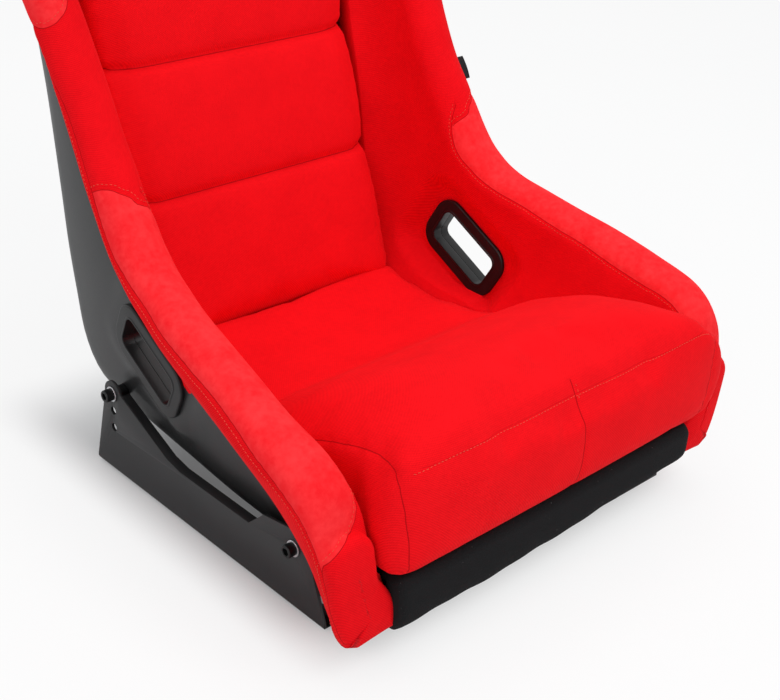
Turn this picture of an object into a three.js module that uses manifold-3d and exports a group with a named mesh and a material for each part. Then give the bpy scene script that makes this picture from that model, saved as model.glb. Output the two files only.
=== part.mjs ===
// Fixed-back racing seat: a moulded bucket shell with padded bolsters, lift-out cushions, belt slots
// and two folded side-mount brackets. Units are millimetres, +Z is up, the seat faces -Y.
//
// The bucket is described by stations. Each station is a plane that holds the X direction and one ruling,
// a line in the side view that runs from the spine (the outer skin at mid width) to the rim. In that plane
// x is the half width and r the distance along the ruling. Shell, pads and liners are lofts over the same
// stations, so they follow each other when a width, a wall or a height changes.
import * as THREE from 'three';
import { mergeVertices } from 'three/addons/utils/BufferGeometryUtils.js';
import Module from 'manifold-3d';

const wasm = await Module();
wasm.setup();

// ---------------------------------------------------------------- driving dimensions

const SEAT_GAP = 0.3; // clearance between neighbouring pieces
const SHELL_WALL = 5; // moulded glass-fibre wall
const LINER = 6; // thin foam-backed lining under the cushions
const HOOK_TAPE = 2; // hook-and-loop strip
const TAPE_INNER_X = 70;
const TAPE_OUTER_X = 120;
const PAD_CLEAR = 1.5; // between the lift-out cushions and the bolsters

const BOLT_SPACING = 290; // between the front and rear side bolts
const FRONT_BOLT_Z = 68;
const REAR_BOLT_Z = 95;
const TILT_HOLE_PITCH = 20; // spare rear holes below the bolt
const TILT_HOLES = 2;
const BOLT_R = 4; // M8
const BOLT_HOLE_R = 4.6;
const BOLT_HEAD_R = 6.5;
const BOLT_HEAD_LENGTH = 8;
const FRONT_BOLT_LENGTH = 25;
const REAR_BOLT_LENGTH = 30;
const HEX_SOCKET_R = 3.5;
const HEX_SOCKET_DEPTH = 4.5;
const WASHER_R = 8.2;
const WASHER_THICK = 1.6;
const SPACER_R = 6.5;
const INSERT_R = 6.5;
const INSERT_LENGTH = 13;
const BOSS_R = 13;
const BOSS_DEPTH = 15;
const BOSS_REACH = 40; // how far outside a bolt pad the shell and the covers are cut clear
const FRONT_BOSS_PROUD = 21; // how far the moulded bolt pads stand out from the foot of the side walls
const REAR_BOSS_PROUD = 14;

const BRACKET_STAND_OFF = 12; // outer face of the side bracket, from the front bolt pad
const BRACKET_THICK = 3;
const BRACKET_REAR_Y = 181;
const BRACKET_FRONT_Y = -191;
const BRACKET_WAIST_Z = 59; // top edge between the lugs
const BRACKET_CORNER = 8;
const BRACKET_FOOT = 42; // inward bottom flange
const BRACKET_STIFFENER = 11; // inward flange along the top edge
const BEND_R = 5;
const LUG_R = 14;
const RAIL_SLOT_R = 4.5;
const RAIL_SLOT_LENGTH = 24;
const RAIL_SLOT_PLACES = [-150, -40, 70, 150];

const FRONT_HALF = 254; // rim half widths, from the front of the thigh bolsters to the head
const HIP_HALF = 235;
const WAIST_HALF = 222;
const SHOULDER_HALF = 250;
const NECK_HALF = 176;
const HEAD_HALF = 158;
const FRONT_Y = -246; // front edge of the shell
const BASE_HALF = 187; // half width at the foot of the side walls
const BACK_BASE_HALF = 195; // the same where the sides meet the back
const FRONT_BOSS_X = BASE_HALF + FRONT_BOSS_PROUD;
const REAR_BOSS_X = BASE_HALF + REAR_BOSS_PROUD;
const BRACKET_X = FRONT_BOSS_X + BRACKET_STAND_OFF;

const SLOT_LENGTH = 86; // lap-belt opening for three-inch webbing
const SLOT_WIDTH = 41;
const SLOT_CORNER = 9;
const SLOT_RIM = 14.5; // width of the bezel's face
const SLOT_PROUD = 4.5;
const SLOT_ROUND = 2.5; // rounded edges of the bezel's face
const SLEEVE_WALL = 2.4;
const LAP_SLOT_Y = 68;
const LAP_SLOT_Z = 168;
const LAP_SLOT_TILT = 28; // degrees, long axis above horizontal towards the back
const LAP_SLOT_DEPTH = 15; // shell outside to lining inside
const HARNESS_SLOT_X = 84;
const HARNESS_SLOT_Z = 675;
const HARNESS_SLOT_LENGTH = 88;
const HARNESS_SLOT_WIDTH = 40;

const LIP_HALF = 204; // covered front edge of the shell between the thigh bolsters
const LIP_TOP = 90;
const LIP_COVER = 4;
const LIP_PROUD = 23; // how far the padded lip stands ahead of the shell

const CUSHION_OVERHANG = 28; // seat cushion ahead of the shell's front edge
const CUSHION_REAR_Y = 135;
const CUSHION_CORNER = 12; // cut corners of the cushion's front face, in plan
const CUSHION_SPACE = 3; // between the cushion and the front lip
const BACK_CUSHION_HALF = 160;
const BACK_CUSHION_TOP = 636;
const HEAD_PAD_HALF = 84;
const HEAD_PAD_THICK = 30;
const HEAD_PAD_EDGE = 12; // sloped margin round the head pad's face

const TAG_STATION = 13.6; // on the left waist bolster
const TAG_REACH = 12;
const TAG_LENGTH = 26;
const TAG_THICK = 2;
const TAG_CLEAR = 0.95; // off the flat facets of the bolster

// ---------------------------------------------------------------- stations of the bucket

// One row a station: spine [y, z], rim [half width, y, z], knee [half width, corner radius, wall bow],
// pad [roll radius, wrap start along the side, inner half width, inner depth, hem thickness]
const STATIONS = [
  [[FRONT_Y, 31], [FRONT_HALF - 6, -244, 126], [BASE_HALF + 30, 44, 5], [26, 0.45, 209, 62, 25]],
  [[-230, 25], [FRONT_HALF - 2, -232, 160], [BASE_HALF + 28, 36, 5], [27, 0.3, 206, 64, 22]],
  [[-200, 21], [FRONT_HALF + 1, -203, 184], [BASE_HALF + 10, 32, 4], [28, 0.24, 199, 70, 16]],
  [[-150, 22], [FRONT_HALF, -152, 198], [BASE_HALF - 2, 38, 4], [28, 0.53, 194, 75, 4]],
  [[-90, 26], [FRONT_HALF - 6, -100, 211], [BASE_HALF - 2, 42, 6], [28, 0.68, 190, 76, 3]],
  [[-20, 31], [HIP_HALF + 6, -50, 221], [BASE_HALF - 1, 42, 10], [28, 0.76, 180, 76, 3]],
  [[50, 37], [HIP_HALF, -5, 231], [BASE_HALF, 44, 10], [28, 0.82, 170, 74, 3]],
  [[115, 43], [HIP_HALF - 6, 28, 240], [BASE_HALF + 1, 46, 10], [28, 0.85, 166, 74, 3]],
  [[176, 49], [WAIST_HALF + 4, 52, 250], [BASE_HALF + 1, 50, 10], [28, 0.87, 165, 82, 3]],
  [[226, 63], [WAIST_HALF + 2, 70, 262], [BASE_HALF + 2, 52, 9], [28, 0.88, 166, 92, 3]],
  [[251, 98], [WAIST_HALF + 1, 84, 274], [BACK_BASE_HALF - 4, 52, 8], [28, 0.88, 168, 94, 3]],
  [[261, 150], [WAIST_HALF, 98, 291], [BACK_BASE_HALF - 2, 50, 7], [28, 0.87, 170, 88, 3]],
  [[269, 206], [WAIST_HALF, 112, 312], [BACK_BASE_HALF, 48, 6], [27, 0.86, 170, 80, 3]],
  [[276, 263], [WAIST_HALF - 1, 128, 336], [BACK_BASE_HALF, 48, 6], [27, 0.86, 170, 73, 3]],
  [[283, 323], [WAIST_HALF - 2, 147, 366], [BACK_BASE_HALF, 48, 6], [26, 0.85, 170, 66, 3]],
  [[291, 383], [WAIST_HALF - 2, 165, 400], [BACK_BASE_HALF, 50, 6], [26, 0.84, 170, 59, 3]],
  [[300, 442], [WAIST_HALF, 184, 440], [BACK_BASE_HALF + 1, 54, 6], [26, 0.82, 172, 54, 3]],
  [[310, 500], [WAIST_HALF + 5, 202, 485], [BACK_BASE_HALF + 4, 60, 6], [26, 0.78, 176, 50, 3]],
  [[320, 555], [SHOULDER_HALF - 11, 216, 535], [BACK_BASE_HALF + 8, 64, 6], [26, 0.75, 178, 46, 3]],
  [[329, 608], [SHOULDER_HALF, 226, 588], [BACK_BASE_HALF + 6, 64, 6], [26, 0.74, 178, 43, 3]],
  [[337, 652], [SHOULDER_HALF - 12, 242, 632], [BACK_BASE_HALF - 4, 60, 5], [25, 0.72, 170, 38, 3]],
  [[345, 697], [NECK_HALF + 34, 286, 670], [NECK_HALF - 6, 50, 4], [22, 0.66, 150, 30, 3]],
  [[352, 742], [NECK_HALF, 306, 712], [NECK_HALF - 26, 42, 3], [19, 0.6, 128, 26, 3]],
  [[358, 787], [HEAD_HALF + 4, 311, 766], [HEAD_HALF - 20, 38, 3], [18, 0.56, 118, 24, 3]],
  [[363, 832], [HEAD_HALF - 2, 316, 818], [HEAD_HALF - 26, 36, 3], [18, 0.55, 112, 24, 3]],
  [[366, 868], [HEAD_HALF - 18, 323, 860], [HEAD_HALF - 42, 34, 2], [18, 0.55, 96, 22, 3]],
  [[367, 895], [HEAD_HALF - 46, 338, 889], [HEAD_HALF - 68, 28, 2], [16, 0.55, 70, 18, 3]],
].map(([spine, rim, knee, pad]) => ({ spine, rim, knee, pad }));
const FRONT = 0;
const THIGH_END = 12.2; // station where the thigh bolster meets the waist bolster
const WAIST_END = 16.7;
const SHOULDER_END = 21.6;
const TOP = STATIONS.length - 1;
const STATION_GAP = 0.015; // share of a station between pieces that meet end to end

const FLOOR_STEPS = 1;
const CORNER_STEPS = 3;
const WALL_STEPS = 4;

const lerp = THREE.MathUtils.lerp;
const v2 = (x, y) => new THREE.Vector2(x, y);
const v3 = (x, y, z) => new THREE.Vector3(x, y, z);

function splineOf(points) {
  return new THREE.CatmullRomCurve3(points, false, 'catmullrom', 0.5);
}

const SPINE = splineOf(STATIONS.map((s) => v3(0, ...s.spine)));
const RIM = splineOf(STATIONS.map((s) => v3(...s.rim)));
const KNEE = splineOf(STATIONS.map((s) => v3(...s.knee)));
const PAD = splineOf(STATIONS.map((s) => v3(s.pad[0], s.pad[1], s.pad[2])));
const PAD_DEPTH = splineOf(STATIONS.map((s) => v3(s.pad[3], s.pad[4], 0)));

// Everything that a station holds, at any place u between the listed ones.
function stationAt(u) {
  const t = u / TOP;
  const spine = SPINE.getPoint(t);
  const rim = RIM.getPoint(t);
  const knee = KNEE.getPoint(t);
  const pad = PAD.getPoint(t);
  const depth = PAD_DEPTH.getPoint(t);
  const ruling = v3(0, rim.y - spine.y, rim.z - spine.z);
  const height = ruling.length();
  ruling.normalize();
  const along = SPINE.getTangent(t);
  const slant = Math.abs(along.y * ruling.z - along.z * ruling.y);
  const wallFoot = v2(knee.x, 0);
  const edge = v2(rim.x, height);
  const run = edge.clone().sub(wallFoot);
  const out = v2(run.y, -run.x).normalize();
  const middle = wallFoot.clone().add(edge).multiplyScalar(0.5).addScaledVector(out, 2 * knee.z);
  const wall = new THREE.QuadraticBezierCurve(wallFoot, middle, edge);
  const cornerEnd = knee.y / run.length();
  const b = wall.getPoint(cornerEnd);
  const tangent = wall.getTangent(cornerEnd);
  const apex = v2(b.x - (tangent.x / tangent.y) * b.y, 0);
  const corner = new THREE.QuadraticBezierCurve(v2(knee.x - knee.y, 0), apex, b);
  return {
    u, spine, ruling, slant, height, edge, wall, corner, cornerEnd,
    roll: pad.x, wrap: pad.y, innerX: pad.z, innerDepth: depth.x, hem: depth.y,
  };
}

// The outer skin from mid width to the rim, as points in the station's plane.
function halfSection(st) {
  const points = [];
  const floorEnd = st.corner.v0.x;
  for (let i = 0; i < FLOOR_STEPS; i++) points.push(v2((floorEnd * i) / FLOOR_STEPS, 0));
  for (let i = 0; i < CORNER_STEPS; i++) points.push(st.corner.getPoint(i / CORNER_STEPS));
  for (let i = 0; i <= WALL_STEPS; i++) points.push(st.wall.getPoint(lerp(st.cornerEnd, 1, i / WALL_STEPS)));
  return points;
}

// Moves a half section towards the inside of the bucket by a wall thickness (outwards if negative).
function insetSection(points, st, inset) {
  return points.map((p, i) => {
    const before = points[Math.max(i - 1, 0)];
    const after = points[Math.min(i + 1, points.length - 1)];
    const run = i === 0 ? v2(1, 0) : after.clone().sub(before).normalize();
    return v2(p.x - run.y * inset, p.y + (run.x * inset) / Math.max(st.slant, 0.5));
  });
}

// A point of a polyline at a share of its length.
function pointAlong(points, share) {
  const lengths = [0];
  for (let i = 1; i < points.length; i++) lengths.push(lengths[i - 1] + points[i].distanceTo(points[i - 1]));
  const wanted = lengths[lengths.length - 1] * THREE.MathUtils.clamp(share, 0, 1);
  let i = 1;
  while (i < points.length - 1 && lengths[i] < wanted) i++;
  const part = (wanted - lengths[i - 1]) / (lengths[i] - lengths[i - 1]);
  return points[i - 1].clone().lerp(points[i], part);
}

// The share of a polyline's length at which it first reaches a half width.
function shareAtX(points, x) {
  const steps = 200;
  for (let i = 0; i <= steps; i++) if (pointAlong(points, i / steps).x >= x) return i / steps;
  return 1;
}

function place(st, p, shift = v3()) {
  return v3(p.x, st.spine.y + st.ruling.y * p.y, st.spine.z + st.ruling.z * p.y).add(shift);
}

// ---------------------------------------------------------------- solids

function solidOf(geometry) {
  const bare = geometry.clone();
  bare.deleteAttribute('normal');
  bare.deleteAttribute('uv');
  const merged = mergeVertices(bare, 1e-4);
  return new wasm.Manifold(new wasm.Mesh({
    numProp: 3,
    vertProperties: merged.attributes.position.array,
    triVerts: new Uint32Array(merged.index.array),
  }));
}

function geometryOf(solid) {
  const mesh = solid.getMesh();
  const geometry = new THREE.BufferGeometry();
  geometry.setAttribute('position', new THREE.BufferAttribute(mesh.vertProperties, 3));
  geometry.setIndex(new THREE.BufferAttribute(mesh.triVerts, 1));
  geometry.computeVertexNormals();
  return geometry;
}

const flip = (solid) => solid.mirror([1, 0, 0]);
const bothSides = (solid) => solid.add(flip(solid));

// Joins rings of equal count into one closed solid: `flat` is a ring's outline in its plane, `placed` its
// points in space.
function loft(rings) {
  const count = rings[0].flat.length;
  const positions = rings.flatMap((ring) => ring.placed.flatMap((p) => [p.x, p.y, p.z]));
  const faces = [];
  for (let i = 0; i + 1 < rings.length; i++) {
    for (let j = 0; j < count; j++) {
      const k = (j + 1) % count;
      const a = i * count + j;
      const b = i * count + k;
      faces.push(a, b, b + count, a, b + count, a + count);
    }
  }
  const last = (rings.length - 1) * count;
  const clockwise = THREE.ShapeUtils.isClockWise(rings[0].flat);
  for (const [a, b, c] of THREE.ShapeUtils.triangulateShape(rings[0].flat, [])) {
    faces.push(...(clockwise ? [a, b, c] : [a, c, b]));
  }
  for (const [a, b, c] of THREE.ShapeUtils.triangulateShape(rings[rings.length - 1].flat, [])) {
    faces.push(...(clockwise ? [last + a, last + c, last + b] : [last + a, last + b, last + c]));
  }
  const geometry = new THREE.BufferGeometry();
  geometry.setAttribute('position', new THREE.Float32BufferAttribute(positions, 3));
  geometry.setIndex(faces);
  return facingOut(geometry);
}

// Turns a closed geometry's faces outwards if its signed volume is negative.
function facingOut(geometry) {
  const p = geometry.attributes.position;
  const index = geometry.index.array;
  const [a, b, c] = [v3(), v3(), v3()];
  let volume = 0;
  for (let i = 0; i < index.length; i += 3) {
    a.fromBufferAttribute(p, index[i]);
    b.fromBufferAttribute(p, index[i + 1]);
    c.fromBufferAttribute(p, index[i + 2]);
    volume += a.dot(b.cross(c));
  }
  if (volume < 0) geometry.setIndex([...index].reverse());
  return geometry;
}

// The places of a loft's rings: both ends and every listed station between them.
function range(from, to) {
  const values = [from];
  for (let u = Math.floor(from) + 1; u < to; u++) values.push(u);
  values.push(to);
  return values;
}

// A ring of a loft: `section` gives a station's flat outline. Between two listed stations the ring is
// drawn on the straight lines that join theirs, so that lofts that end anywhere keep the same facets.
function ringAt(u, section) {
  const made = (st) => {
    const flat = section(st);
    return { flat, placed: flat.map((p) => place(st, p)) };
  };
  const low = made(stationAt(Math.floor(u)));
  if (Number.isInteger(u)) return low;
  const high = made(stationAt(Math.ceil(u)));
  const part = u - Math.floor(u);
  return {
    flat: low.flat.map((p, i) => p.clone().lerp(high.flat[i], part)),
    placed: low.placed.map((p, i) => p.clone().lerp(high.placed[i], part)),
  };
}

const moved = (ring, shift) => ({ flat: ring.flat, placed: ring.placed.map((p) => p.clone().add(shift)) });

function extrude(shape, depth, options = {}) {
  return new THREE.ExtrudeGeometry(shape, { depth, bevelEnabled: false, curveSegments: 4, ...options });
}

// A side-view outline in [y, z], extruded across the seat from x0 to x1.
function sideExtrude(shape, x0, x1, curveSegments = 4) {
  const geometry = extrude(shape, x1 - x0, { curveSegments });
  geometry.applyMatrix4(new THREE.Matrix4().makeBasis(v3(0, 1, 0), v3(0, 0, 1), v3(1, 0, 0)));
  geometry.translate(x0, 0, 0);
  return geometry;
}

function polygon(points) {
  return new THREE.Shape(points.map(([a, b]) => v2(a, b)));
}

function roundedRectangle(length, width, radius) {
  const [l, w, r] = [length / 2, width / 2, radius];
  const shape = new THREE.Shape();
  shape.moveTo(-l + r, -w);
  shape.lineTo(l - r, -w);
  shape.absarc(l - r, -w + r, r, -Math.PI / 2, 0);
  shape.lineTo(l, w - r);
  shape.absarc(l - r, w - r, r, 0, Math.PI / 2);
  shape.lineTo(-l + r, w);
  shape.absarc(-l + r, w - r, r, Math.PI / 2, Math.PI);
  shape.lineTo(-l, -w + r);
  shape.absarc(-l + r, -w + r, r, Math.PI, Math.PI * 1.5);
  return shape;
}

// A round solid along X, from x0 to x1, at a side-view place.
function rod(radius, x0, x1, y, z, segments = 12) {
  const geometry = new THREE.CylinderGeometry(radius, radius, x1 - x0, segments);
  geometry.rotateZ(-Math.PI / 2);
  geometry.translate((x0 + x1) / 2, y, z);
  return geometry;
}

// A washer, sleeve or spacer along X.
function sleeve(outer, inner, x0, x1, y, z, segments = 12) {
  const profile = [v2(inner, 0), v2(outer, 0), v2(outer, x1 - x0), v2(inner, x1 - x0), v2(inner, 0)];
  const geometry = new THREE.LatheGeometry(profile, segments);
  geometry.rotateZ(-Math.PI / 2);
  geometry.translate(x0, y, z);
  return geometry;
}

// ---------------------------------------------------------------- bucket shell

// A solid between two depths under the bucket's outer skin, with the skin's own facets. One half is lofted,
// a little past mid width, and joined to its mirror image, so both sides are alike. `over` gives the far
// boundary of a half section, from mid width outwards, and `grow` lifts the rim and both ends.
const PAST_MIDDLE = 1;
function band(from, to, low, over, grow = 0) {
  const rings = range(from, to).map((u) => ringAt(u, (st) => {
    const half = halfSection(st);
    const near = insetSection(half, st, low);
    const far = over(st, half);
    for (const edge of [near, far]) {
      edge[0].x = -PAST_MIDDLE;
      edge[edge.length - 1].y += grow;
    }
    return [...near, ...far.reverse()];
  }));
  if (grow > 0) {
    rings[0] = moved(rings[0], v3(0, -grow, 0));
    rings.push(moved(rings[rings.length - 1], v3(0, 0, grow)));
  }
  return bothSides(solidOf(loft(rings)));
}

const atDepth = (depth) => (st, half) => insetSection(half, st, depth);

// The bare bucket; `grow` swells it on every side for the clearance of its neighbours.
const bucket = (grow) => band(FRONT, TOP, -grow, atDepth(SHELL_WALL + grow), grow);

// What lies inside a boundary that `side` gives for each station, from its top down, on both sides.
function corridor(from, to, side) {
  const rings = range(from, to).map((u) => ringAt(u, (st) => {
    const edge = side(st);
    return [v2(-PAST_MIDDLE, edge[0].y), ...edge, v2(-PAST_MIDDLE, edge[edge.length - 1].y)];
  }));
  return bothSides(solidOf(loft(rings)));
}

// ---------------------------------------------------------------- bolster pads

const ROLL_STEPS = 5;
const SIDE_STEPS = 3;
const INNER_STEPS = 3;
const CORE_STEPS = 3;
const NOSE_TURNS = [26, 52, 75].map(THREE.MathUtils.degToRad); // rounding of a pad's free end

// The curve of a pad's inner face, from the roll down to the cushion's edge.
function innerFace(st) {
  const up = st.wall.getTangent(1);
  const out = v2(up.y, -up.x);
  const start = st.edge.clone().addScaledVector(out, -st.roll);
  const end = v2(st.innerX, st.innerDepth);
  const pull = start.distanceTo(end) * 0.7;
  return new THREE.QuadraticBezierCurve(start, start.clone().addScaledVector(up, -pull), end);
}

// A pad's ring on the +X side: outside cover, roll, inner face, foot, and a way back inside the shell's wall.
// `full` shrinks it towards the wall, for the rounded nose.
function padRing(st, full = 1) {
  const half = halfSection(st);
  const side = half.slice(FLOOR_STEPS);
  const up = st.wall.getTangent(1);
  const out = v2(up.y, -up.x);
  const ring = [];
  for (let i = 0; i <= SIDE_STEPS; i++) {
    const share = lerp(st.wrap, 1, i / (SIDE_STEPS + 1));
    const p = pointAlong(side, share);
    const ahead = pointAlong(side, Math.min(share + 0.02, 1));
    const behind = pointAlong(side, Math.max(share - 0.02, 0));
    const run = ahead.sub(behind).normalize();
    const swell = THREE.MathUtils.smoothstep(i / (SIDE_STEPS + 1), 0, 1.1);
    ring.push(p.addScaledVector(v2(run.y, -run.x), lerp(st.hem, st.roll, swell) * full));
  }
  for (let i = 0; i <= ROLL_STEPS; i++) {
    const angle = (Math.PI * i) / ROLL_STEPS;
    ring.push(st.edge.clone()
      .addScaledVector(out, st.roll * full * Math.cos(angle))
      .addScaledVector(up, st.roll * full * Math.sin(angle)));
  }
  const face = innerFace(st);
  const core = insetSection(half, st, SHELL_WALL / 2);
  const footShare = shareAtX(core, Math.min(st.innerX, st.edge.x - 8));
  for (let i = 1; i <= INNER_STEPS; i++) {
    const share = i / INNER_STEPS;
    const inside = pointAlong(core, lerp(1, footShare, share));
    ring.push(inside.lerp(face.getPoint(share), full));
  }
  const wrapAt = pointAlong(side, st.wrap);
  const wrapShare = nearestShare(core, wrapAt);
  for (let i = 0; i <= CORE_STEPS; i++) {
    ring.push(pointAlong(core, lerp(footShare, wrapShare, i / CORE_STEPS)));
  }
  return ring;
}

function nearestShare(points, target) {
  const steps = 200;
  let best = 0;
  let gap = Infinity;
  for (let i = 0; i <= steps; i++) {
    const d = pointAlong(points, i / steps).distanceTo(target);
    if (d < gap) [gap, best] = [d, i / steps];
  }
  return best;
}

// One side pad between two stations, with a rounded nose ahead of the shell's front edge if it starts there.
function pad(from, to) {
  const rings = range(from, to).map((u) => ringAt(u, (st) => padRing(st)));
  if (from === FRONT) {
    const { roll } = stationAt(FRONT);
    for (const turn of NOSE_TURNS) {
      const shrunk = ringAt(FRONT, (st) => padRing(st, Math.cos(turn)));
      rings.unshift(moved(shrunk, v3(0, -roll * Math.sin(turn), 0)));
    }
  }
  return loft(rings);
}

// ---------------------------------------------------------------- seats of the fittings

const caster = new THREE.Raycaster();

// Where a line along X meets a surface at a side-view place, cast inwards (from outside) or outwards.
function meet(geometry, y, z, inwards) {
  const mesh = new THREE.Mesh(geometry, new THREE.MeshBasicMaterial({ side: THREE.DoubleSide }));
  caster.set(v3(inwards ? 2 * SHOULDER_HALF : 0, y, z), v3(inwards ? -1 : 1, 0, 0));
  return caster.intersectObject(mesh)[0];
}

const bareBucket = bucket(0);
const bareSurface = geometryOf(bareBucket);
const roomForBucket = bucket(SEAT_GAP);
const roomForFlange = flange(SEAT_GAP);

// The frame of a fitting that lies on the shell's outside: Z out of the wall, X along the slot.
function wallFrame(y, z, tilt) {
  const hit = meet(bareSurface, y, z, true);
  const normal = hit.face.normal.clone();
  const angle = THREE.MathUtils.degToRad(tilt);
  const wanted = v3(0, Math.cos(angle), Math.sin(angle));
  const along = wanted.addScaledVector(normal, -wanted.dot(normal)).normalize();
  const across = normal.clone().cross(along);
  return new THREE.Matrix4().makeBasis(along, across, normal).setPosition(hit.point);
}

// The frame of a harness slot in the back: Z out of the back's outer skin (rearwards), X across the seat.
function backFrame(x, z) {
  const mesh = new THREE.Mesh(bareSurface, new THREE.MeshBasicMaterial({ side: THREE.DoubleSide }));
  caster.set(v3(x, 1000, z), v3(0, -1, 0));
  const hit = caster.intersectObject(mesh)[0];
  const rise = hit.face.normal.z;
  const normal = v3(0, Math.sqrt(1 - rise * rise), rise);
  const along = v3(1, 0, 0);
  return new THREE.Matrix4().makeBasis(along, normal.clone().cross(along), normal).setPosition(hit.point);
}

// A closed section of [outset, depth] points carried round a belt opening.
function slotRing(length, width, section) {
  const corner = SLOT_CORNER;
  const outline = roundedRectangle(length, width, corner).getPoints(2);
  if (outline[0].distanceTo(outline[outline.length - 1]) < 1e-6) outline.pop();
  const [l, w] = [length / 2 - corner, width / 2 - corner];
  const rings = outline.map((p) => {
    const centre = v2(THREE.MathUtils.clamp(p.x, -l, l), THREE.MathUtils.clamp(p.y, -w, w));
    const out = p.clone().sub(centre).normalize();
    return section.map(([outset, depth]) => v3(p.x + out.x * outset, p.y + out.y * outset, depth));
  });
  const count = section.length;
  const faces = [];
  rings.forEach((_, i) => {
    const next = ((i + 1) % rings.length) * count;
    for (let j = 0; j < count; j++) {
      const k = (j + 1) % count;
      faces.push(i * count + j, i * count + k, next + k, i * count + j, next + k, next + j);
    }
  });
  const geometry = new THREE.BufferGeometry().setFromPoints(rings.flat());
  geometry.setIndex(faces);
  return facingOut(geometry);
}

// A belt slot: what it cuts from the shell and pads, and its two bezels, all from one opening.
function beltSlot(frame, length, width, depth) {
  const slab = (outset, from, to) => {
    const shape = roundedRectangle(length + 2 * outset, width + 2 * outset, SLOT_CORNER + outset);
    return solidOf(extrude(shape, to - from, { curveSegments: 2 }).translate(0, 0, from));
  };
  // Face, rounded lip, sleeve through the wall: `side` is 1 outside and -1 inside.
  const bezel = (seat, side, joint) => {
    const at = (height) => seat + side * height;
    const shoulder = at(SLOT_PROUD - SLOT_ROUND);
    return solidOf(slotRing(length, width, [
      [0, joint], [0, shoulder], [SLOT_ROUND / 2, at(SLOT_PROUD)], [SLOT_RIM - SLOT_ROUND, at(SLOT_PROUD)],
      [SLOT_RIM, shoulder], [SLOT_RIM, at(0)], [SLEEVE_WALL, at(0)], [SLEEVE_WALL, joint],
    ]));
  };
  const reach = SLOT_LENGTH;
  const at = (solid) => solid.transform(frame.elements);
  return {
    outside: at(bezel(0, 1, -depth / 2 + SEAT_GAP / 2)),
    inside: at(bezel(-depth, -1, -depth / 2 - SEAT_GAP / 2)),
    tunnel: at(slab(SLEEVE_WALL + SEAT_GAP, -depth - reach, reach)),
    outerSeat: at(slab(SLOT_RIM + SEAT_GAP, -SEAT_GAP, reach)),
    innerSeat: at(slab(SLOT_RIM + SEAT_GAP, -depth - reach, -depth + SEAT_GAP)),
  };
}

const lapFrame = wallFrame(LAP_SLOT_Y, LAP_SLOT_Z, LAP_SLOT_TILT);
const lapSlot = beltSlot(lapFrame, SLOT_LENGTH, SLOT_WIDTH, LAP_SLOT_DEPTH);
const harnessDepth = SHELL_WALL + LINER + HOOK_TAPE;
const harnessFrame = backFrame(HARNESS_SLOT_X, HARNESS_SLOT_Z);
const harnessSlot = beltSlot(harnessFrame, HARNESS_SLOT_LENGTH, HARNESS_SLOT_WIDTH, harnessDepth);

const BOLTS = [
  { name: 'front', y: -BOLT_SPACING / 2, z: FRONT_BOLT_Z, boss: FRONT_BOSS_X, length: FRONT_BOLT_LENGTH },
  { name: 'rear', y: BOLT_SPACING / 2, z: REAR_BOLT_Z, boss: REAR_BOSS_X, length: REAR_BOLT_LENGTH },
];
const bracketInner = BRACKET_X - BRACKET_THICK;

// ---------------------------------------------------------------- shell

// The upturned front edge that the lip cover is glued on, with a fillet behind it.
function flange(grow) {
  const [front, back] = [FRONT_Y - grow, FRONT_Y + SHELL_WALL + grow];
  const outline = polygon([
    [front, 27], [front, LIP_TOP + grow], [back, LIP_TOP + grow], [back, 42 + grow], [back + 11, 31 + grow],
    [back + 11, 27],
  ]);
  return solidOf(sideExtrude(outline, -BASE_HALF - grow, BASE_HALF + grow));
}

function makeShell() {
  let shell = bareBucket.add(flange(0));
  for (const bolt of BOLTS) {
    const outside = bolt.boss + BOSS_REACH;
    const floor = bolt.boss - INSERT_LENGTH - SEAT_GAP;
    const boss = solidOf(rod(BOSS_R, bolt.boss - BOSS_DEPTH, bolt.boss, bolt.y, bolt.z));
    const spotFace = solidOf(rod(SPACER_R + 2, bolt.boss, outside, bolt.y, bolt.z));
    const bore = solidOf(rod(INSERT_R + SEAT_GAP, floor, outside, bolt.y, bolt.z));
    shell = shell.add(bothSides(boss)).subtract(bothSides(spotFace)).subtract(bothSides(bore));
  }
  for (const slot of [lapSlot, harnessSlot]) {
    shell = shell.subtract(bothSides(slot.tunnel.add(slot.outerSeat)));
  }
  return shell;
}

// ---------------------------------------------------------------- padding

const bossRoom = BOLTS.map((bolt) => solidOf(
  rod(BOSS_R + SEAT_GAP, bolt.boss - BOSS_DEPTH - SEAT_GAP, bolt.boss + BOSS_REACH, bolt.y, bolt.z),
)).reduce((a, b) => a.add(b));

// The foam-filled cover of the shell's front edge, between the thigh bolsters.
function lipCover(grow) {
  const back = FRONT_Y - SEAT_GAP + grow;
  const tuck = back + SHELL_WALL + LIP_COVER;
  const top = LIP_TOP + LIP_COVER + grow;
  const front = FRONT_Y - LIP_PROUD - grow;
  const outline = polygon([
    [back, 31 - grow], [back, LIP_TOP + SEAT_GAP - grow], [tuck, LIP_TOP + SEAT_GAP - grow], [tuck, top],
    [front + 6, top], [front, LIP_TOP - 3], [front, 58], [FRONT_Y - 19, 43 - grow], [FRONT_Y - 9, 32 - grow],
  ]);
  return solidOf(sideExtrude(outline, -LIP_HALF - grow, LIP_HALF + grow));
}

// Keeps the main body and drops slivers that a cut leaves.
function largest(solid) {
  return solid.decompose().reduce((a, b) => (a.volume() > b.volume() ? a : b));
}

function makePad(from, to, cuts = []) {
  let made = solidOf(pad(from, to)).subtract(roomForBucket).subtract(bossRoom);
  for (const cut of cuts) made = made.subtract(cut);
  return largest(made);
}

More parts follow.
